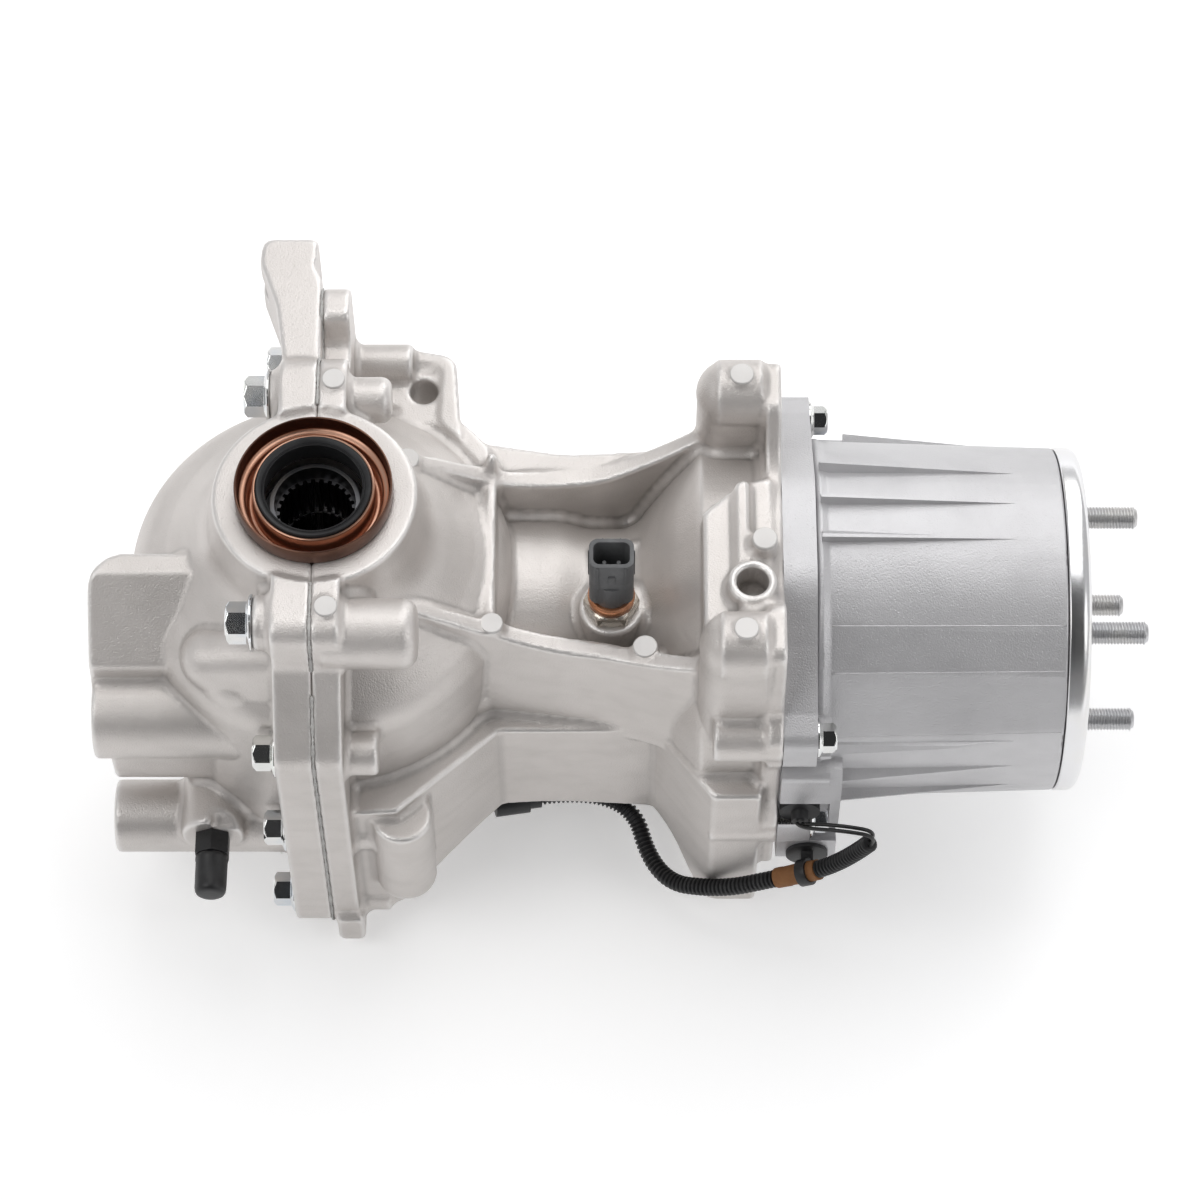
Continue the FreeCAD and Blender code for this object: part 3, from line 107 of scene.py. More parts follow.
def in_row_frame(point):
    """Point of the part's source, in millimetres from the axle, as the scene has it."""
    return Vector((point[0] + axle_x, point[1], point[2])) * MM


# Shader arithmetic

class Signal:
    """Socket of a node tree that can stand in a Python expression."""

    def __init__(self, finish, socket):
        self.finish = finish
        self.socket = socket

    def math(self, operation, *others):
        inputs = {index: value for index, value in enumerate((self,) + others)}
        return self.finish.node("ShaderNodeMath", {"operation": operation}, inputs).out(0)

    def flipped(self, operation, other):
        return self.finish.node("ShaderNodeMath", {"operation": operation}, {0: other, 1: self}).out(0)

    def __add__(self, other):
        return self.math("ADD", other)

    __radd__ = __add__

    def __mul__(self, other):
        return self.math("MULTIPLY", other)

    __rmul__ = __mul__

    def __sub__(self, other):
        return self.math("SUBTRACT", other)

    def __rsub__(self, other):
        return self.flipped("SUBTRACT", other)

    def __pow__(self, other):
        return self.math("POWER", other)

    def step(self, low, high):
        """0 below low, 1 above high, smooth between."""
        settings = {"interpolation_type": "SMOOTHSTEP"}
        ends = {"Value": self, "From Min": low, "From Max": high}
        return self.finish.node("ShaderNodeMapRange", settings, ends).out(0)


class Node:
    def __init__(self, finish, node):
        self.finish = finish
        self.node = node

    def out(self, name):
        return Signal(self.finish, self.node.outputs[name])


class Shading:
    """Node tree whose nodes are all made in one place."""

    def __init__(self, tree):
        self.tree = tree

    def node(self, kind, settings=None, inputs=None):
        made = self.tree.nodes.new(kind)
        for setting, value in (settings or {}).items():
            if setting == "stops":
                ramp = made.color_ramp
                while len(ramp.elements) < len(value):
                    ramp.elements.new(0.5)
                for element, (position, color) in zip(ramp.elements, value):
                    element.position = position
                    element.color = (*color, 1)
            else:
                setattr(made, setting, value)
        for name, value in (inputs or {}).items():
            self.feed(made.inputs[name], value)
        return Node(self, made)

    def feed(self, socket, value):
        if isinstance(value, Signal):
            self.tree.links.new(value.socket, socket)
        elif isinstance(value, tuple) and len(value) == 3 and socket.type == "RGBA":
            socket.default_value = (*value, 1)
        else:
            socket.default_value = value

    def mix(self, factor, low, high):
        """Colour between two, by a factor."""
        blend = self.node("ShaderNodeMix", {"data_type": "RGBA"})
        for socket, value in zip([blend.node.inputs[i] for i in (0, 6, 7)], (factor, low, high)):
            self.feed(socket, value)
        return blend.out(2)


class Finish(Shading):
    """Surface of one kind, made of shader nodes round a Principled shader."""

    def __init__(self, name, **sockets):
        self.material = bpy.data.materials.new(name)
        self.material.use_nodes = True
        super().__init__(self.material.node_tree)
        self.shader = self.tree.nodes["Principled BSDF"]
        self.place = self.node("ShaderNodeTexCoord").out("Object")
        for socket, value in sockets.items():
            self.shader.inputs[socket.replace("_", " ")].default_value = value

    def noise(self, scale, detail=3.0, roughness=0.55, stretch=None):
        place = self.place
        if stretch:
            place = self.node("ShaderNodeMapping", None, {"Vector": place, "Scale": stretch}).out(0)
        settings = {"noise_dimensions": "3D"}
        inputs = {"Vector": place, "Scale": scale, "Detail": detail, "Roughness": roughness}
        return self.node("ShaderNodeTexNoise", settings, inputs).out(0)

    def cells(self, scale):
        inputs = {"Vector": self.place, "Scale": scale}
        return self.node("ShaderNodeTexVoronoi", None, inputs).out("Distance")

    def part_of_place(self, axis):
        return self.node("ShaderNodeSeparateXYZ", None, {0: self.place}).out("XYZ".index(axis))

    def attribute(self, name):
        return self.node("ShaderNodeAttribute", {"attribute_name": name}).out("Fac")

    def ramp(self, factor, stops):
        return self.node("ShaderNodeValToRGB", {"stops": stops}, {0: factor}).out(0)

    def bump(self, height, distance, strength):
        inputs = {"Height": height, "Distance": distance, "Strength": strength}
        return self.node("ShaderNodeBump", None, inputs).out(0)

    def set(self, **sockets):
        for socket, value in sockets.items():
            self.feed(self.shader.inputs[socket.replace("_", " ")], value)


def cast_alloy(name, pale, shade, roughness):
    """Blasted die-cast alloy: fine grain, faint flow stains, painted shade and grime in hollows, painted
    highlight on standing edges.
    """
    made = Finish(name, Metallic=0.62, Specular_IOR_Level=0.4)
    stains = made.noise(14, 4, 0.6)
    flow = made.noise(60, 3, 0.5, (1, 0.4, 2.2))
    grain = made.noise(1500, 2, 0.6)
    hollow = made.attribute("hollow")
    tone = made.mix(stains.step(0.35, 0.68) * 0.5 + flow.step(0.4, 0.75) * 0.3, pale, shade)
    # Painted shade with grime: the colour darkens towards hollows and corners as the hollow attribute rises.
    tone = made.mix(hollow.step(0.52, 0.8) * 0.62, tone, tuple(0.42 * channel for channel in shade))
    # Painted highlight: the colour lightens on edges that stand out, which are also made smoother.
    tone = made.mix((1 - hollow).step(0.56, 0.85) * 0.4, tone, (0.9, 0.89, 0.88))
    pits = made.cells(700).step(0.05, 0.35)
    made.set(Base_Color=tone, Roughness=roughness + grain * 0.14 - (1 - hollow).step(0.56, 0.85) * 0.1)
    made.set(Normal=made.bump(grain * 0.9 + pits * 0.3 + flow * 0.4, 0.00025, 0.7))
    return made.material


def turned_steel(name, color, roughness, axis="X", tint=(0.72, 0.7, 0.66), metallic=1.0):
    """Steel with fine tool marks across an axis and faint staining."""
    made = Finish(name, Metallic=metallic)
    stretch = tuple(60.0 if letter == axis else 1.0 for letter in "XYZ")
    marks = made.noise(45, 3, 0.6, stretch)
    stains = made.noise(38, 4, 0.6)
    made.set(Base_Color=made.mix(stains.step(0.42, 0.7) * 0.5, color, tint),
             Roughness=roughness + stains * 0.16 + marks * 0.08,
             Normal=made.bump(marks, 0.00005, 0.5))
    return made.material


def zinc_plate(name):
    """Bright zinc with a faint yellow and blue passivate."""
    made = Finish(name, Metallic=1.0)
    patches = made.noise(55, 3, 0.5)
    tone = made.ramp(patches, [(0.3, (0.66, 0.68, 0.64)), (0.5, (0.74, 0.74, 0.73)),
                               (0.7, (0.62, 0.66, 0.7))])
    made.set(Base_Color=tone, Roughness=0.09 + made.noise(120) * 0.07)
    return made.material


def coated_metal(name, color, rubbed, roughness):
    made = Finish(name, Metallic=0.85)
    patches = made.noise(70, 4, 0.6)
    streaks = made.noise(40, 3, 0.6, (1, 1, 9))
    made.set(Base_Color=made.mix(patches.step(0.4, 0.72) * 0.6, color, rubbed),
             Roughness=roughness + streaks * 0.16, Normal=made.bump(streaks, 0.00008, 0.35))
    return made.material


def pressed_seal(name):
    """Copper-coloured pressing; its standing wall dark brown, a browned coating with a painted dark
    reflection.
    """
    made = Finish(name, Metallic=0.95)
    across, along = made.part_of_place("X") - axle_x * MM, made.part_of_place("Y")
    radius = (across * across + along * along) ** 0.5
    wall = radius.step(28.3 * MM, 28.8 * MM)
    patches = made.noise(70, 4, 0.6)
    copper = made.mix(patches.step(0.4, 0.72), (0.48, 0.28, 0.2), (0.38, 0.2, 0.135))
    # The standing wall's dark brown is partly its coating and partly a painted dark reflection.
    brown_and_dark_reflection = made.mix(patches.step(0.45, 0.75), (0.13, 0.068, 0.048), (0.2, 0.11, 0.08))
    made.set(Base_Color=made.mix(wall, copper, brown_and_dark_reflection), Roughness=0.24 + patches * 0.14,
             Normal=made.bump(made.noise(40, 3, 0.6, (1, 1, 9)), 0.00006, 0.35))
    return made.material


def moulded(name, color, roughness, grain_scale=1200, grain_depth=0.00006):
    """Plastic or rubber with a fine skin and dusty patches."""
    made = Finish(name, Specular_IOR_Level=0.45)
    dust = made.noise(90, 4, 0.6)
    skin = made.noise(grain_scale, 2, 0.6)
    lighter = tuple(min(1.0, channel * 1.6 + 0.012) for channel in color)
    made.set(Base_Color=made.mix(dust.step(0.45, 0.75) * 0.6, color, lighter),
             Roughness=roughness + dust * 0.15, Normal=made.bump(skin, grain_depth, 0.6))
    return made.material


def cloth_tape(name):
    made = Finish(name)
    fibres = made.noise(420, 3, 0.6, (1, 1, 3))
    soil = made.noise(60, 3, 0.6)
    cover = fibres * 0.6 + soil.step(0.4, 0.8) * 0.5
    made.set(Base_Color=made.mix(cover, (0.2, 0.08, 0.025), (0.36, 0.17, 0.06)),
             Roughness=0.62 + fibres * 0.2, Normal=made.bump(fibres, 0.00012, 0.7))
    return made.material


def wound_copper(name):
    made = Finish(name, Metallic=0.9)
    turns = made.noise(30, 2, 0.5, (40, 1, 1))
    made.set(Base_Color=made.mix(turns, (0.52, 0.25, 0.13), (0.8, 0.45, 0.28)),
             Roughness=0.3 + turns * 0.15, Normal=made.bump(turns, 0.0001, 0.5))
    return made.material


def lining(name):
    made = Finish(name)
    fibres = made.noise(700, 3, 0.7)
    made.set(Base_Color=made.mix(fibres, (0.12, 0.095, 0.07), (0.28, 0.24, 0.19)),
             Roughness=0.7 + fibres * 0.2, Normal=made.bump(fibres, 0.0001, 0.6))
    return made.material


finishes = {
    "cast_housing": cast_alloy("blasted_casting", (0.69, 0.655, 0.63), (0.56, 0.53, 0.505), 0.36),
    "zinc_steel": zinc_plate("zinc_plate"),
    "machined_steel": turned_steel("machined_steel", (0.7, 0.7, 0.7), 0.2),
    "stud_steel": turned_steel("stud_steel", (0.55, 0.55, 0.56), 0.25),
    "gear_steel": turned_steel("hardened_steel", (0.1, 0.1, 0.105), 0.25, "Z", (0.16, 0.13, 0.1)),
    "gear_iron": turned_steel("case_iron", (0.22, 0.22, 0.23), 0.45, "Z", (0.16, 0.15, 0.14), 0.85),
    "seal_metal": pressed_seal("browned_copper_coating"),
    "seal_rubber": moulded("seal_rubber", (0.012, 0.012, 0.013), 0.42, 900),
    "clutch_lining": lining("friction_lining"),
    "coil_copper": wound_copper("wound_copper"),
    "nickel_brass": coated_metal("nickel_plate", (0.6, 0.55, 0.48), (0.74, 0.7, 0.64), 0.16),
    "grey_plastic": moulded("grey_moulding", (0.1, 0.102, 0.105), 0.42),
    "black_plastic": moulded("black_moulding", (0.014, 0.014, 0.015), 0.34),
    "wire_insulation": moulded("wire_insulation", (0.01, 0.01, 0.01), 0.3),
    "brown_tape": cloth_tape("brown_cloth_tape"),
    "turned_plate": turned_steel("plate_zinc", (0.72, 0.72, 0.73), 0.12),
}
ribbed_finish = cast_alloy("ribbed_casting_alloy", (0.6, 0.595, 0.605), (0.5, 0.495, 0.505), 0.36)
pad_finish = turned_steel("pin_mark", (0.66, 0.645, 0.63), 0.42, "Z", (0.6, 0.585, 0.57), 0.5)
copper_washer = coated_metal("copper_washer", (0.6, 0.27, 0.14), (0.8, 0.45, 0.3), 0.2)
sealant_finish = moulded("grey_sealant", (0.46, 0.455, 0.44), 0.45, 300, 0.0001)


# Mesh helpers

def new_piece(name, mesh, material, smooth_angle=None):
    piece = bpy.data.objects.new(name, mesh)
    bpy.context.scene.collection.objects.link(piece)
    mesh.materials.clear()
    mesh.materials.append(material)
    mesh.shade_smooth()
    if smooth_angle is not None:
        mesh.set_sharp_from_angle(angle=math.radians(smooth_angle))
    return piece


def dress(piece, body, slot_name, *replaced):
    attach(piece, body)
    if replaced:
        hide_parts(*replaced)
    return piece


def settled(piece):
    """Piece with its modifiers made part of the mesh."""
    depsgraph = bpy.context.evaluated_depsgraph_get()
    mesh = bpy.data.meshes.new_from_object(piece.evaluated_get(depsgraph))
    materials = list(piece.data.materials)
    piece.modifiers.clear()
    piece.data = mesh
    mesh.materials.clear()
    for material in materials:
        mesh.materials.append(material)
    return piece


def copy_of(node, name, material):
    mesh = nodes[node].data.copy()
    for layer in list(mesh.uv_layers):
        mesh.uv_layers.remove(layer)
    work = bmesh.new()
    work.from_mesh(mesh)
    bmesh.ops.remove_doubles(work, verts=work.verts, dist=weld)
    bmesh.ops.dissolve_degenerate(work, edges=work.edges, dist=weld)
    for edge in work.edges:
        edge.smooth = True
    work.to_mesh(mesh)
    work.free()
    if "custom_normal" in mesh.attributes:
        mesh.attributes.remove(mesh.attributes["custom_normal"])
    return new_piece(name, mesh, material)


def with_modifier(piece, kind, **settings):
    modifier = piece.modifiers.new(kind.lower(), kind)
    for setting, value in settings.items():
        setattr(modifier, setting, value)
    return piece


def read_points(mesh, layer="co"):
    values = np.empty(len(mesh.vertices) * 3)
    mesh.vertices.foreach_get(layer, values)
    return values.reshape(-1, 3)


def averaged(mesh, points, passes, weight=1.0):
    """Points moved towards the middle of their neighbours, in passes."""
    count = len(points)
    edges = np.empty(len(mesh.edges) * 2, dtype=np.int64)
    mesh.edges.foreach_get("vertices", edges)
    a, b = edges.reshape(-1, 2).T
    degree = np.maximum(np.bincount(a, minlength=count) + np.bincount(b, minlength=count), 1)[:, None]
    moved = points.copy()
    for _ in range(passes):
        total = np.empty_like(moved)
        for k in range(3):
            total[:, k] = (np.bincount(a, weights=moved[b, k], minlength=count)
                           + np.bincount(b, weights=moved[a, k], minlength=count))
        moved = moved + (total / degree - moved) * weight
    return moved


def mark_hollows(mesh):
    """Per-point value: over a half in hollows and corners, under a half on edges that stand out."""
    points = read_points(mesh)
    shift = averaged(mesh, points, hollow_passes) - points
    bend = np.einsum("ij,ij->i", shift, read_points(mesh, "normal")) / (1.6 * MM)
    attribute = mesh.attributes.new("hollow", "FLOAT", "POINT")
    attribute.data.foreach_set("value", np.clip(0.5 + bend, 0, 1).astype(np.float32))


def draw_back(mesh, solid):
    """Skin's points drawn back onto the solid's faces, except in filled corners, and the gaps there."""
    surface = BVHTree.FromPolygons([vertex.co for vertex in solid.vertices],
                                   [tuple(polygon.vertices) for polygon in solid.polygons])
    points = read_points(mesh)
    gaps = np.zeros((len(points), 1))
    for k, point in enumerate(points):
        near, _, _, gap = surface.find_nearest(point)
        gaps[k] = gap
        if gap < pull_far:
            points[k] += (np.array(near) - point) * min(1.0, (pull_far - gap) / (pull_far - pull_near))
    return points, gaps


def casting(node, name, material, swelling=None):
    """Casting from its solid: inner corners filled to a fillet, outer edges eased."""
    piece = copy_of(node, name, material)
    solid = nodes[node].data
    if swelling:
        solid = joined_mesh(name + "_solid", [solid, swelling])
        piece.data = joined_mesh(name, [piece.data, swelling])
        piece.data.materials.append(material)
    with_modifier(piece, "REMESH", mode="VOXEL", voxel_size=voxel, adaptivity=0)
    with_modifier(piece, "DISPLACE", strength=fillet, mid_level=0, direction="NORMAL")
    with_modifier(piece, "REMESH", mode="VOXEL", voxel_size=voxel, adaptivity=0)
    with_modifier(piece, "DISPLACE", strength=-fillet, mid_level=0, direction="NORMAL")
    with_modifier(piece, "REMESH", mode="VOXEL", voxel_size=voxel, adaptivity=0)
    settled(piece)
    mesh = piece.data
    points, gaps = draw_back(mesh, solid)
    points = averaged(mesh, points, fillet_passes, np.clip(gaps / pull_near - 0.6, 0, 0.8))
    points = averaged(mesh, points, ease_passes, 0.5)
    mesh.vertices.foreach_set("co", points.ravel())
    mesh.update()
    mark_hollows(mesh)
    mesh.shade_smooth()
    return dress(piece, "case", "cast_housing", node)


def eased(node, name, material, body, slot_name, width):
    """Copy of a solid with its sharp edges broken."""
    piece = copy_of(node, name, material)
    with_modifier(piece, "BEVEL", width=width * MM, segments=2, limit_method="ANGLE",
                  angle_limit=math.radians(28), use_clamp_overlap=True, harden_normals=False)
    settled(piece)
    piece.data.set_sharp_from_angle(angle=math.radians(40))
    return dress(piece, body, slot_name, node)


def solids_in(node):
    """Box of each separate solid in a node, as (low corner, high corner)."""
    work = bmesh.new()
    work.from_mesh(nodes[node].data)
    bmesh.ops.remove_doubles(work, verts=work.verts, dist=weld)
    boxes = []
    seen = set()
    for first in work.verts:
        if first in seen:
            continue
        stack, members = [first], []
        seen.add(first)
        while stack:
            vert = stack.pop()
            members.append(vert.co.copy())
            for edge in vert.link_edges:
                other = edge.other_vert(vert)
                if other not in seen:
                    seen.add(other)
                    stack.append(other)
        low = Vector([min(point[k] for point in members) for k in range(3)])
        high = Vector([max(point[k] for point in members) for k in range(3)])
        boxes.append((low, high))
    work.free()
    return boxes


def grid_mesh(name, rings, close_ends=True):
    """Mesh from rings of the same number of points."""
    work = bmesh.new()
    loops = [[work.verts.new(point) for point in ring] for ring in rings]
    count = len(loops[0])
    for here, ahead in zip(loops, loops[1:]):
        for k in range(count):
            corners = [here[k], here[(k + 1) % count], ahead[(k + 1) % count], ahead[k]]
            work.faces.new(corners)
    if close_ends:
        work.faces.new(list(reversed(loops[0])))
        work.faces.new(loops[-1])
    bmesh.ops.remove_doubles(work, verts=work.verts, dist=0.001 * MM)
    bmesh.ops.dissolve_degenerate(work, edges=work.edges, dist=0.001 * MM)
    bmesh.ops.recalc_face_normals(work, faces=work.faces)
    mesh = bpy.data.meshes.new(name)
    work.to_mesh(mesh)
    work.free()
    return mesh


def turned_rings(profile, segments, flats=None, flat_from=None):
    """Rings about Z for a profile of (radius, height); a hexagon limits the radius from one height on."""
    rings = []
    for radius, height in profile:
        ring = []
        for k in range(segments):
            angle = 2 * math.pi * k / segments
            reach = radius
            if flats and height >= flat_from:
                turn = (angle + math.pi / 6) % (math.pi / 3) - math.pi / 6
                reach = min(radius, flats / 2 / math.cos(turn))
            ring.append(Vector((reach * math.cos(angle), reach * math.sin(angle), height)))
        rings.append(ring)
    return rings


def threaded_rings(radius, depth, pitch, start, end, segments, steps):
    """Rings about Z with a thread cut into them, steps rings to a turn, faded out at both ends."""
    rings = []
    count = int((end - start) / pitch * steps)
    for n in range(count + 1):
        height = start + (end - start) * n / count
        ring = []
        fade = min(1.0, (height - start) / pitch, (end - height) / (0.6 * pitch))
        for k in range(segments):
            phase = (height / pitch - k / segments) % 1.0
            cut = 1 - abs(2 * phase - 1)
            angle = 2 * math.pi * k / segments
            reach = radius - depth * max(0.0, fade) * min(1.0, cut * 1.25)
            ring.append(Vector((reach * math.cos(angle), reach * math.sin(angle), height)))
        rings.append(ring)
    return rings


def aimed(rings, origin, direction, spin=0.0):
    """Rings about Z turned to a direction and moved to an origin."""
    turn = Vector(direction).to_track_quat("Z", "Y").to_matrix() @ Matrix.Rotation(spin, 3, "Z")
    return [[origin + turn @ point for point in ring] for ring in rings]


def joined_mesh(name, meshes):
    work = bmesh.new()
    for mesh in meshes:
        work.from_mesh(mesh)
    mesh = bpy.data.meshes.new(name)
    work.to_mesh(mesh)
    work.free()
    return mesh


def spline_points(name, route):
    """Points along the smooth spline that has the route as its control points."""
    curve = bpy.data.curves.new(name, "CURVE")
    curve.dimensions = "3D"
    spline = curve.splines.new("NURBS")
    spline.points.add(len(route) - 1)
    for point, place in zip(spline.points, route):
        point.co = (*in_row_frame(place), 1)
    spline.order_u = 3
    spline.use_endpoint_u = True
    curve.resolution_u = 40
    holder = bpy.data.objects.new(name, curve)
    bpy.context.scene.collection.objects.link(holder)
    bpy.context.view_layer.update()
    line = bpy.data.meshes.new_from_object(holder)
    points = [vertex.co.copy() for vertex in line.vertices]
    bpy.data.objects.remove(holder)
    return points


def evenly(points, spacing):
    """Points at a steady spacing along a line of points, each with the distance run."""
    lengths = [0.0]
    for a, b in zip(points, points[1:]):
        lengths.append(lengths[-1] + (b - a).length)
    count = max(2, round(lengths[-1] / spacing))
    placed, k = [], 0
    for n in range(count + 1):
        run = lengths[-1] * n / count
        while k < len(points) - 2 and lengths[k + 1] < run:
            k += 1
        share = (run - lengths[k]) / max(1e-9, lengths[k + 1] - lengths[k])
        placed.append((points[k].lerp(points[k + 1], share), run))
    return placed


def tube_along(name, placed, radius_at, segments):
    """Tube whose radius depends on the distance run and the angle round it."""
    rings = []
    side = None
    for n, (point, run) in enumerate(placed):
        ahead = placed[min(n + 1, len(placed) - 1)][0] - placed[max(n - 1, 0)][0]
        heading = ahead.normalized()
        side = side - heading * side.dot(heading) if side else heading.orthogonal()
        side = side.normalized()
        up = heading.cross(side)
        ring = []
        for k in range(segments):
            angle = 2 * math.pi * k / segments
            reach = radius_at(run, angle)
            ring.append(point + (side * math.cos(angle) + up * math.sin(angle)) * reach)
        rings.append(ring)
    return grid_mesh(name, rings)


# Castings

def hull_of_balls(name, balls):
    """Smooth closed hull round balls, each with its place in the part's source and its radius."""
    work = bmesh.new()
    for place, radius in balls:
        for step in range(1, 20):
            height, ring = math.cos(math.pi * step / 20), math.sin(math.pi * step / 20)
            for k in range(36):
                out = Vector((ring * math.cos(math.pi * k / 18), ring * math.sin(math.pi * k / 18), height))
                work.verts.new(in_row_frame(place) + out * radius * MM)
    hull = bmesh.ops.convex_hull(work, input=work.verts)
    spare = {item for item in hull["geom_interior"] + hull["geom_unused"]
             if isinstance(item, bmesh.types.BMVert)}
    bmesh.ops.delete(work, geom=list(spare), context="VERTS")
    bmesh.ops.recalc_face_normals(work, faces=work.faces)
    mesh = bpy.data.meshes.new(name)
    work.to_mesh(mesh)
    work.free()
    return mesh


# Swelling of the cover below the upper bolt
gallery_r = 11.5
gallery = hull_of_balls("gallery", [((-41, -46.5, 53.5), gallery_r), ((-12, -50.5, 62), gallery_r),
                                    ((-30, -52, 46), gallery_r), ((-12, -56, 46), gallery_r)])
casting("main_housing", "housing_casting", finishes["cast_housing"])
casting("rear_cover", "cover_casting", finishes["cast_housing"], gallery)


def level_hollows(mesh):
    """The same middling value of the castings' hollow attribute everywhere."""
    attribute = mesh.attributes.new("hollow", "FLOAT", "POINT")
    attribute.data.foreach_set("value", np.full(len(mesh.vertices), 0.5, np.float32))


def ribbed_casting():
    """Ribbed housing with the edges of its solid broken, so that ribs and flats stay crisp."""
    piece = copy_of("coupling_housing", "ribbed_casting", ribbed_finish)
    work = bmesh.new()
    work.from_mesh(piece.data)
    bmesh.ops.dissolve_limit(work, angle_limit=math.radians(1.2), verts=work.verts, edges=work.edges)
    work.to_mesh(piece.data)
    work.free()
    with_modifier(piece, "BEVEL", width=ribbed_edge, segments=2, limit_method="ANGLE",
                  angle_limit=math.radians(24), use_clamp_overlap=True, harden_normals=False)
    settled(piece)
    piece.data.shade_smooth()
    piece.data.set_sharp_from_angle(angle=math.radians(32))
    with_modifier(piece, "WEIGHTED_NORMAL", keep_sharp=True)
    settled(piece)
    level_hollows(piece.data)
    return dress(piece, "case", "cast_housing", "coupling_housing")


ribbed_casting()


# Facet lines: place along the pinion axis and radius of both ends, angles round the axis, radius of a line
facet_ends = [(197.5, 70.9), (287.5, 68.15)]
facet_angles = (121.0, 136.0, 159.0)
facet_line_r = 0.3 * MM


def facet_lines():
    """Raised lines where the flats along the ribbed housing meet its cone."""
    meshes = []
    for degrees in facet_angles:
        turn = math.radians(degrees)
        ends = [in_row_frame((x, r * math.cos(turn), r * math.sin(turn))) for x, r in facet_ends]
        meshes.append(tube_along("line", evenly(ends, 4 * MM), lambda run, angle: facet_line_r, 10))
    mesh = joined_mesh("facet_lines", meshes)
    level_hollows(mesh)
    return dress(new_piece("facet_lines", mesh, ribbed_finish), "case", "cast_housing")


facet_lines()


# Bolts and studs

def hexagon_bolt(box, flats, head_at_low=True):
    """Flanged hexagon bolt in the box of its solid, with a dished head and a threaded shank."""
    low, high = box
    middle = (low + high) / 2
    rim = (high.y - low.y) / 2
    across = flats * MM
    corner_r = across / math.sqrt(3)
    total = bolt_flange + head_height[flats] * MM
    start = middle.copy()
    if head_at_low:
        start.x = low.x + total
        direction = Vector((-1, 0, 0))
    else:
        start.x = high.x - total
        direction = Vector((1, 0, 0))
    profile = [(0.55 * rim, 0.0), (rim - 0.25 * MM, 0.0), (rim, 0.3 * MM), (rim, 0.8 * MM),
               (rim - 0.4 * MM, 1.25 * MM), (corner_r + 0.3 * MM, bolt_flange - 0.25 * MM),
               (corner_r + 0.1 * MM, bolt_flange)]
    flat_from = bolt_flange + 0.05 * MM
    profile += [(corner_r, flat_from), (corner_r, total - 1.5 * MM)]
    inner = across / 2
    for share in (k / 6 for k in range(7)):
        profile.append((corner_r - (corner_r - 0.94 * inner) * share, total - (1.22 - 1.2 * share) * MM))
    profile += [(0.86 * inner, total), (0.78 * inner, total - 0.15 * MM), (0.66 * inner, total - 0.9 * MM),
                (0.3 * inner, total - 1.1 * MM), (0.05 * MM, total - 1.1 * MM)]
    head = grid_mesh("head", aimed(turned_rings(profile, 72, across, flat_from), start, direction))
    pitch, depth = bolt_thread
    shank_r = (shank_radius[flats] - 0.05) * MM
    length = (high.x - low.x) - total - 0.3 * MM
    thread = threaded_rings(shank_r, depth, pitch, -0.2 * MM, length, 24, 5)
    return joined_mesh("bolt", [head, grid_mesh("shank", aimed(thread, start, -direction))])


def bolt_set(node, name, flats, head_at_low):
    meshes = [hexagon_bolt(box, flats, head_at_low) for box in solids_in(node)]
    piece = new_piece(name, joined_mesh(name, meshes), finishes["zinc_steel"], 34)
    return dress(piece, "case", "zinc_steel", node)


bolt_set("case_bolts", "case_bolts_dressed", 12, True)
bolt_set("bearing_cap_bolts", "cap_bolts_dressed", 14, True)
bolt_set("coupling_bolts", "coupling_bolts_dressed", 10, False)


def stud_set():
    meshes = []
    for low, high in solids_in("input_studs"):
        middle = (low + high) / 2
        radius = (high.y - low.y) / 2
        length = high.x - low.x
        pitch, depth = stud_thread
        collar = length - stud_thread_length
        rings = turned_rings([(radius - 0.1 * MM, 0.0), (radius - 0.06 * MM, collar)], 32)
        rings += threaded_rings(radius, depth, pitch, collar + 0.2 * MM, length - 1.3 * MM, 32, 8)
        rings += turned_rings([(radius - depth, length - 1.2 * MM), (radius - 1.1 * MM, length - 0.2 * MM),
                               (radius - 1.4 * MM, length)], 32)
        meshes.append(grid_mesh("stud", aimed(rings, Vector((low.x, middle.y, middle.z)), (1, 0, 0))))
    piece = new_piece("input_studs_threaded", joined_mesh("studs", meshes), finishes["stud_steel"], 40)
    return dress(piece, "input", "stud_steel", "input_studs")


stud_set()
eased("input_plate", "input_plate_turned", finishes["turned_plate"], "input", "machined_steel", 0.5)


def ring_piece(name, material, slot_name, body, profile, base, direction=(0, 0, 1), segments=72,
               replaced=()):
    """Closed ring from a profile of (radius, height) in millimetres."""
    profile = [(radius * MM, height * MM) for radius, height in profile]
    rings = turned_rings(profile + [profile[0]], segments)
    piece = new_piece(name, grid_mesh(name, aimed(rings, base, direction), False), material, 40)
    return dress(piece, body, slot_name, *replaced)


# Seals, in millimetres: height over the face of the boss, and profiles of (radius, height) from that face
seal_height = 8.0
seal_profile = [(28.6, -6.9), (28.6, 0.0), (29.7, 0.03), (30.0, 0.25), (30.1, 0.8), (30.1, 7.4),
                (29.95, 7.85), (29.6, 8.0), (29.3, 7.85), (29.15, 7.4), (29.0, 2.6), (28.8, 1.7),
                (28.3, 1.2), (27.4, 0.95), (26.7, 0.8), (26.2, 0.4), (26.0, -0.3), (25.8, -4.6),
                (25.2, -5.4), (24.4, -5.6), (23.7, -5.3), (23.4, -4.4), (23.4, 5.1), (23.2, 5.6),
                (22.8, 5.8), (22.4, 5.7), (22.25, 5.3), (22.2, 4.6), (22.2, -6.9)]
lip_profile = [(22.1, -4.9), (22.1, 6.3), (21.9, 6.7), (21.5, 6.9), (21.1, 6.8), (19.75, 5.75),
               (19.6, 5.5), (19.5, 5.75), (19.3, 5.85), (19.15, 5.7), (19.05, 5.3), (18.95, 5.5),
               (18.8, 5.5), (18.72, 5.2), (18.75, 4.4), (19.4, 2.4), (19.5, -4.9)]
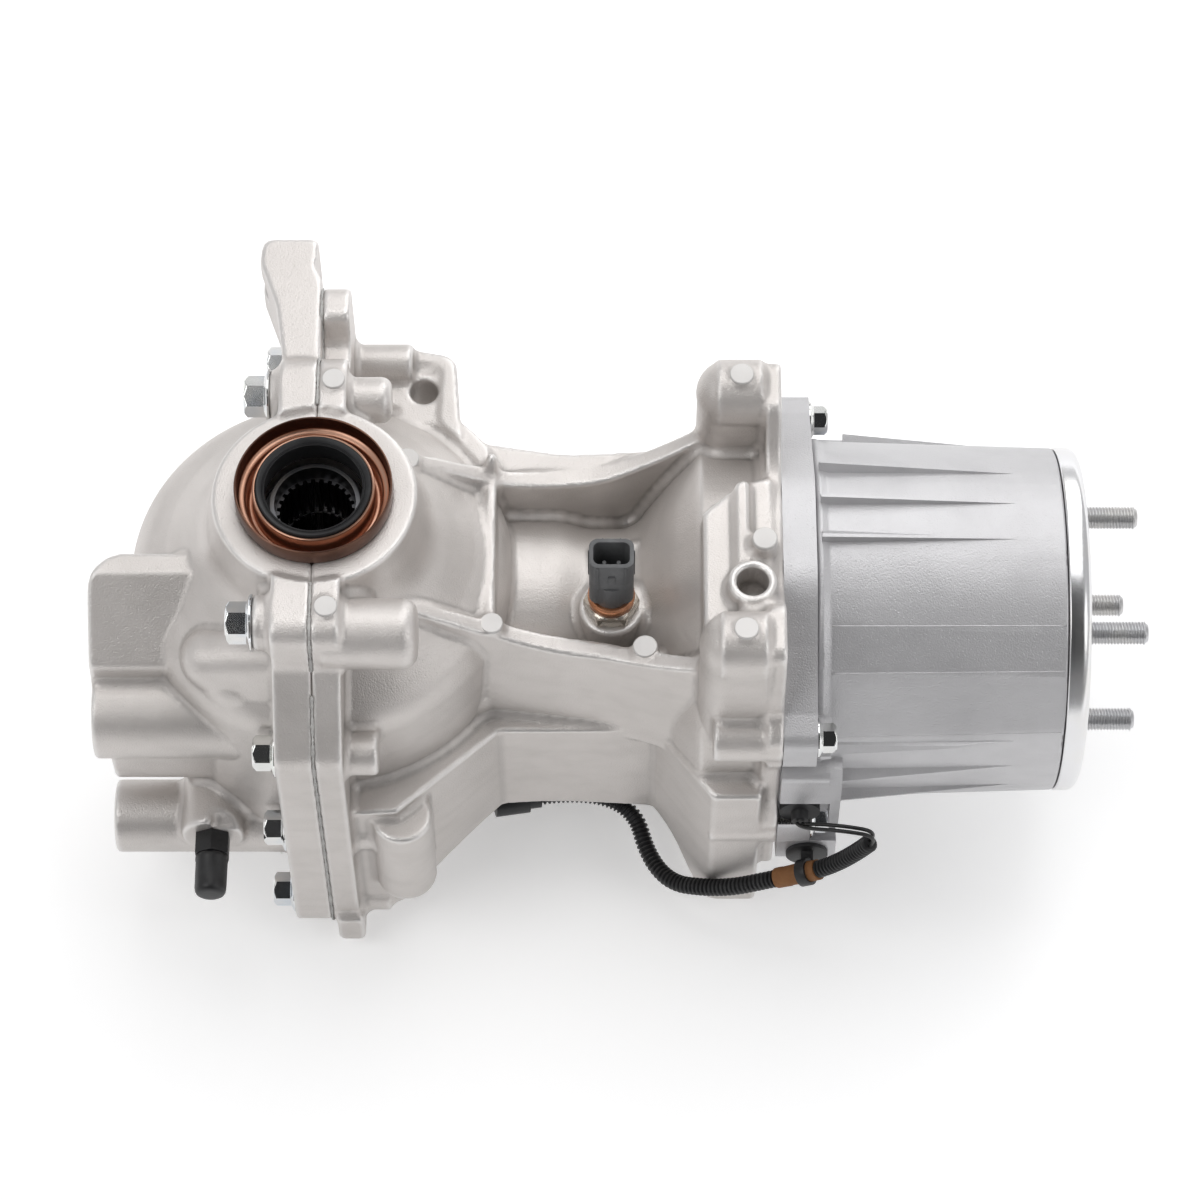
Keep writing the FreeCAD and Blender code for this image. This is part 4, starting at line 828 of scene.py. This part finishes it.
for side, sign in (("upper", 1), ("lower", -1)):
    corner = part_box(side + "_seal_case")[1 if sign > 0 else 0].z
    face = Vector((axle_x * MM, 0, corner - sign * seal_height * MM))
    ring_piece(side + "_seal_case_rolled", finishes["seal_metal"], "seal_metal", "case", seal_profile, face,
               (0, 0, sign), 128, [side + "_seal_case"])
    ring_piece(side + "_seal_lip_moulded", finishes["seal_rubber"], "seal_rubber", "case", lip_profile, face,
               (0, 0, sign), 128, [side + "_seal_lip"])


# Sensor

sensor_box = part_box("sensor_body")
connector_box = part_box("sensor_connector")
sensor_centre = (sensor_box[0] + sensor_box[1]) / 2


def sensor_hexagon():
    """Nickel hexagon with chamfered corners above and below, and the shank under it."""
    top = sensor_box[1].z
    across = min(sensor_box[1].x - sensor_box[0].x, sensor_box[1].y - sensor_box[0].y)
    corner_r = across / math.sqrt(3)
    hexagon_t, collar_t = 7.0 * MM, 4.0 * MM
    low = top - collar_t - hexagon_t
    shank_r = 5.9 * MM
    base = Vector((sensor_centre.x, sensor_centre.y, low))
    profile = [(across / 2 * 0.9, 0.02 * MM), (across / 2 * 0.97, 0.1 * MM), (corner_r, 1.4 * MM),
               (corner_r, hexagon_t - 1.5 * MM), (corner_r * 0.97, hexagon_t - 1.1 * MM),
               (corner_r * 0.94, hexagon_t - 0.7 * MM), (across / 2 * 0.97, hexagon_t - 0.05 * MM)]
    head = turned_rings(profile, 72, across, -1)
    collar = turned_rings([(8.6 * MM, hexagon_t), (8.6 * MM, hexagon_t + 0.5 * MM),
                           (8.0 * MM, hexagon_t + 0.9 * MM), (8.0 * MM, hexagon_t + collar_t - 0.6 * MM),
                           (7.6 * MM, hexagon_t + collar_t)], 72)
    pitch, depth = bolt_thread
    shank = threaded_rings(shank_r, depth, pitch, sensor_box[0].z - low, 0.0, 24, 5)
    meshes = [grid_mesh("hexagon", aimed(head + collar, base, (0, 0, 1), math.pi / 6)),
              grid_mesh("shank", aimed(shank, base, (0, 0, 1)))]
    piece = new_piece("sensor_hexagon", joined_mesh("sensor_hexagon", meshes), finishes["nickel_brass"], 34)
    return dress(piece, "case", "nickel_brass", "sensor_body")


sensor_hexagon()

collar_base = Vector((sensor_centre.x, sensor_centre.y, sensor_box[1].z))
crimp_profile = [(7.3, -3.4), (8.9, -3.4), (9.2, -2.9), (9.2, -1.0), (8.8, -0.4), (8.2, 0.4), (7.3, 0.5)]
ring_piece("sensor_crimp_ring", copper_washer, "coil_copper", "case", crimp_profile, collar_base)

eased("sensor_connector", "sensor_connector_moulded", finishes["grey_plastic"], "case", "grey_plastic", 0.45)

# Rails of the connector: side it stands on (x, y), width, depth, and its ends as shares of the height
connector_rails = [(-0.62, -1, 0.9, 0.9, 0.42, 0.98), (0.62, -1, 0.9, 0.9, 0.42, 0.98),
                   (-1, 0.35, 0.9, 0.8, 0.34, 0.93), (1, 0.35, 0.9, 0.8, 0.34, 0.93),
                   (0, -1, 2.6, 1.1, 0.6, 0.78), (-0.4, 1, 0.8, 0.9, 0.5, 0.98),
                   (0.4, 1, 0.8, 0.9, 0.5, 0.98)]


def connector_details():
    """Guide rails and latch step on the sides of the connector."""
    low, high = connector_box
    middle = (low + high) / 2
    half_x, half_y = (high.x - low.x) / 2, (high.y - low.y) / 2
    tall = high.z - low.z
    rails = []
    for dx, dy, wide, deep, z0, z1 in connector_rails:
        work = bmesh.new()
        bmesh.ops.create_cube(work, size=1)
        scale = Vector((wide * MM, deep * MM, (z1 - z0) * tall))
        place = Vector((middle.x + dx * half_x, middle.y + dy * half_y * 0.92, low.z + (z0 + z1) / 2 * tall))
        for vertex in work.verts:
            if vertex.co.z < 0:
                vertex.co.y *= 0.6
            vertex.co = Vector((vertex.co.x * scale.x, vertex.co.y * scale.y, vertex.co.z * scale.z)) + place
        bmesh.ops.bevel(work, geom=list(work.edges), offset=0.18 * MM, segments=2, affect="EDGES")
        mesh = bpy.data.meshes.new("rail")
        work.to_mesh(mesh)
        work.free()
        rails.append(mesh)
    piece = new_piece("sensor_connector_rails", joined_mesh("rails", rails), finishes["grey_plastic"], 40)
    return dress(piece, "case", "grey_plastic")


connector_details()

# Breather and plugs
eased("breather_fitting", "breather_fitting_moulded", finishes["black_plastic"], "case", "black_plastic",
      0.4)
cap_low, cap_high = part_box("breather_cap")
cap_profile = [(4.05, 0.0), (6.4, 0.0), (6.6, 0.25), (6.6, 1.7), (6.4, 2.0), (6.35, 13.6), (6.15, 15.0),
               (5.6, 16.0), (4.8, 16.5), (3.4, 16.68), (0.05, 16.7), (0.05, 11.8), (4.05, 11.8)]
ring_piece("breather_cap_moulded", finishes["black_plastic"], "black_plastic", "case", cap_profile,
           Vector(((cap_low.x + cap_high.x) / 2, cap_high.y, (cap_low.z + cap_high.z) / 2)), (0, -1, 0), 64,
           ["breather_cap"])
eased("drain_plug", "drain_plug_turned", finishes["zinc_steel"], "case", "zinc_steel", 0.4)
eased("lead_grommet", "grommet_moulded", finishes["seal_rubber"], "case", "seal_rubber", 0.5)
eased("lead_plug", "lead_plug_moulded", finishes["black_plastic"], "case", "black_plastic", 0.5)


# Lead

def lead():
    conduit_line = spline_points("conduit_line", conduit_route)

    def corrugated(run, angle):
        phase = (run / conduit_pitch) % 1.0
        rise = min(1.0, max(0.0, 2.2 * (0.5 - abs(phase - 0.5)) * 2 - 0.55))
        return conduit_crest * (conduit_valley + (1 - conduit_valley) * rise)

    conduit = new_piece("conduit_corrugated",
                        tube_along("conduit", evenly(conduit_line, conduit_pitch / 8), corrugated, 28),
                        finishes["black_plastic"], 50)
    dress(conduit, "case", "black_plastic", "lead_conduit")
    placed = evenly(conduit_line, 0.5 * MM)
    start = nearest_run(placed, in_row_frame(conduit_route[1])) + tape_from
    tape = [entry for entry in placed if start <= entry[1] <= start + tape_length]

    def wound(run, angle):
        lap = ((run - start) / tape_turn + angle / (2 * math.pi)) % 1.0
        return tape_r + tape_thickness * (1 - lap)

    sleeve = new_piece("tape_sleeve", tube_along("tape", tape, wound, 40), finishes["brown_tape"], 50)
    dress(sleeve, "case", "brown_tape", "lead_sleeve")
    wires = []
    for route in wire_routes:
        line = evenly(spline_points("wire_line", route), 0.8 * MM)
        wires.append(tube_along("wire", line, lambda run, angle: wire_r, 14))
    pair = new_piece("wire_pair", joined_mesh("wires", wires), finishes["wire_insulation"], 60)
    dress(pair, "case", "wire_insulation", "lead_wires")


def nearest_run(placed, target):
    return min(placed, key=lambda entry: (entry[0] - target).length)[1]


lead()
eased("lead_clip", "lead_clip_moulded", finishes["black_plastic"], "case", "black_plastic", 0.3)


# Flat tops of the ejector pins: place in the part's source, height of the top, radius
pin_tops = [(171.5, -11.5, 85.0, 4.9), (6.0, 50.0, 101.3, 4.6), (6.0, -50.0, 101.3, 4.6),
            (33.5, 31.5, 72.0, 4.9), (66.8, -32.5, 56.0, 4.6), (126.0, -40.0, 51.0, 4.9)]
pin_tops += [(163.5, y, z, 4.8) for y in (-56.0, 56.0) for z in (-95.0, 95.0)]


def pin_pads():
    """Crisp disc on each pin top, with a broken edge."""
    meshes = []
    for x, y, top, radius in pin_tops:
        disc = [(0.05, -1.5), (radius - 0.1, -1.5), (radius - 0.15, 0.05), (radius - 0.5, 0.4), (0.05, 0.42)]
        rings = turned_rings([(reach * MM, height * MM) for reach, height in disc], 48)
        direction = (0, 0, 1 if top > 0 else -1)
        meshes.append(grid_mesh("disc", aimed(rings, in_row_frame((x, y, top)), direction)))
    piece = new_piece("pin_pads", joined_mesh("pin_pads", meshes), pad_finish, 30)
    return dress(piece, "case", "cast_housing")


pin_pads()


def outline_loops(node, x):
    """Closed loops of points where a node meets the plane X = x of the part's source."""
    work = bmesh.new()
    work.from_mesh(nodes[node].data)
    bmesh.ops.remove_doubles(work, verts=work.verts, dist=weld)
    everything = list(work.verts) + list(work.edges) + list(work.faces)
    cut = bmesh.ops.bisect_plane(work, geom=everything, plane_co=in_row_frame((x, 0, 0)), plane_no=(1, 0, 0))
    links = {}
    for edge in cut["geom_cut"]:
        if isinstance(edge, bmesh.types.BMEdge):
            a, b = edge.verts
            links.setdefault(a, []).append(b)
            links.setdefault(b, []).append(a)
    loops, seen = [], set()
    for first in links:
        if first in seen:
            continue
        loop, here = [], first
        while here is not None:
            seen.add(here)
            loop.append(here.co.copy())
            here = next((other for other in links[here] if other not in seen), None)
        loops.append(loop + [loop[0]])
    work.free()
    return loops


# The joint shows beyond these places: past the drum, and beside the axle's bosses
bead_from_y, bead_from_z, boss_side_y = 73 * MM, 79.5 * MM, 38.6 * MM
# Plane just inside the main housing that gives the joint's outline, and the bead's radius, in millimetres
joint_cut, bead_r = 0.6, 0.5


def joint_bead():
    """Sealant squeezed out along the joint of the case halves, round the outside only."""
    low, high = cad_bounds
    meshes = []

    def squeezed(run, angle):
        long, short, fine = math.sin(run * 610), math.sin(run * 2310 + 1.3), math.sin(run * 5200 + angle)
        return (bead_r + long * 0.16 + short * 0.11 + fine * 0.06) * MM

    for loop in outline_loops("main_housing", joint_cut):
        line = [point for point, run in evenly(loop, 1.0 * MM)]
        runs, current = [], []
        for point in line:
            if abs(point.y) > bead_from_y or (abs(point.z) > bead_from_z and abs(point.y) > boss_side_y):
                current.append(Vector((axle_x * MM, point.y, point.z)))
            elif current:
                runs.append(current)
                current = []
        runs.append(current)
        for current in runs:
            if len(current) > 12:
                meshes.append(tube_along("bead", evenly(current, 0.8 * MM), squeezed, 10))
    mesh = joined_mesh("joint_bead", meshes)
    for vertex in mesh.vertices:
        vertex.co = [min(max(vertex.co[k], low[k]), high[k]) for k in range(3)]
    return dress(new_piece("joint_sealant", mesh, sealant_finish), "case", "cast_housing")


joint_bead()


# Everything else keeps its solid, with the finish of its slot

slot_of_node = {part["node"]: part["material_slot"] for part in frame["record"]["subparts"]}
for name, node in nodes.items():
    slot_name = slot_of_node.get(name, "machined_steel")
    node.data.materials.clear()
    node.data.materials.append(finishes[slot_name])


# Floor, lights and camera

dark_front = (0, -0.54, 0.84)  # middle of the unlit part of the studio
dim_side = (0, -0.875, -0.485)  # middle of its dimmer wall
floor_half = 4.0
floor_glow = (0.34, 0.34, 0.34)
lamps = (("key", (-0.9, -0.6, 1.5), 1.0, 7), ("fill", (1.3, -0.7, 1.1), 0.9, 4),
         ("top", (0.1, 0.6, 1.7), 1.2, 9), ("rear", (0.6, 1.4, 0.9), 1.0, 6))  # place, size, power
camera_place = (-0.1894, -0.8176, 1.4905)
camera_aim = Vector((-0.1894, 0.0066, 0.0037))
camera_lens, camera_film = 127.5, 36.0


def studio():
    low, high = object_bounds()
    centre = (low + high) / 2
    floor_mesh = bpy.data.meshes.new("floor")
    corners = [(centre.x + sx * floor_half, centre.y + sy * floor_half, low.z - 0.5 * MM) for sx, sy in
               ((-1, -1), (1, -1), (1, 1), (-1, 1))]
    floor_mesh.from_pydata(corners, [], [(0, 1, 2, 3)])
    paper = Finish("pale_floor", Roughness=0.9, Specular_IOR_Level=0.2, Emission_Strength=1.0)
    fibres = paper.noise(300, 3, 0.6)
    rays = paper.node("ShaderNodeLightPath")
    seen = rays.out("Is Camera Ray") + rays.out("Is Glossy Ray") + rays.out("Is Transmission Ray")
    across, along = paper.part_of_place("X") - centre.x, paper.part_of_place("Y") - centre.y
    glow = paper.mix(((across * across + along * along) ** 0.5).step(0.5, 1.8), floor_glow, (1, 1, 1))
    paper.set(Base_Color=paper.mix(fibres, (0.86, 0.86, 0.86), (0.9, 0.9, 0.9)),
              Emission_Color=paper.mix(seen.math("MINIMUM", 1.0), (0, 0, 0), glow))
    floor = bpy.data.objects.new("floor", floor_mesh)
    bpy.context.scene.collection.objects.link(floor)
    floor_mesh.materials.append(paper.material)
    floor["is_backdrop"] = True
    for name, place, size, power in lamps:
        light = bpy.data.lights.new(name, "AREA")
        light.shape = "SQUARE"
        light.size = size
        light.energy = power
        lamp = bpy.data.objects.new(name, light)
        bpy.context.scene.collection.objects.link(lamp)
        lamp.location = centre + Vector(place)
        lamp.rotation_euler = (centre - lamp.location).to_track_quat("-Z", "Y").to_euler()
    world = bpy.data.worlds.new("studio")
    bpy.context.scene.world = world
    world.use_nodes = True
    sky = Shading(world.node_tree)
    heading = sky.node("ShaderNodeTexCoord").out("Generated")
    dot = {"operation": "DOT_PRODUCT"}
    front = sky.node("ShaderNodeVectorMath", dot, {0: heading, 1: dark_front}).out("Value")
    side = sky.node("ShaderNodeVectorMath", dot, {0: heading, 1: dim_side}).out("Value")
    walls = sky.mix(side.step(0.2, 0.9), (0.98, 0.98, 0.99), (0.42, 0.42, 0.43))
    walls = sky.mix(front.step(0.66, 0.98), walls, (0.05, 0.05, 0.052))
    room = sky.node("ShaderNodeBackground", None, {"Color": walls, "Strength": 0.6}).out(0)
    white = sky.node("ShaderNodeBackground", None, {"Color": (1, 1, 1), "Strength": 1.0}).out(0)
    seen = sky.node("ShaderNodeLightPath").out("Is Camera Ray")
    shown = sky.node("ShaderNodeMixShader", None, {0: seen, 1: room, 2: white}).out(0)
    sky.feed(world.node_tree.nodes["World Output"].inputs["Surface"], shown)


def camera():
    data = bpy.data.cameras.new("camera")
    data.lens = camera_lens
    data.sensor_width = camera_film
    data.clip_start, data.clip_end = 0.05, 50
    holder = bpy.data.objects.new("camera", data)
    bpy.context.scene.collection.objects.link(holder)
    holder.location = camera_place
    holder.rotation_euler = (camera_aim - holder.location).to_track_quat("-Z", "Y").to_euler()
    bpy.context.scene.camera = holder


studio()
camera()
bpy.context.scene.view_settings.view_transform = "Standard"
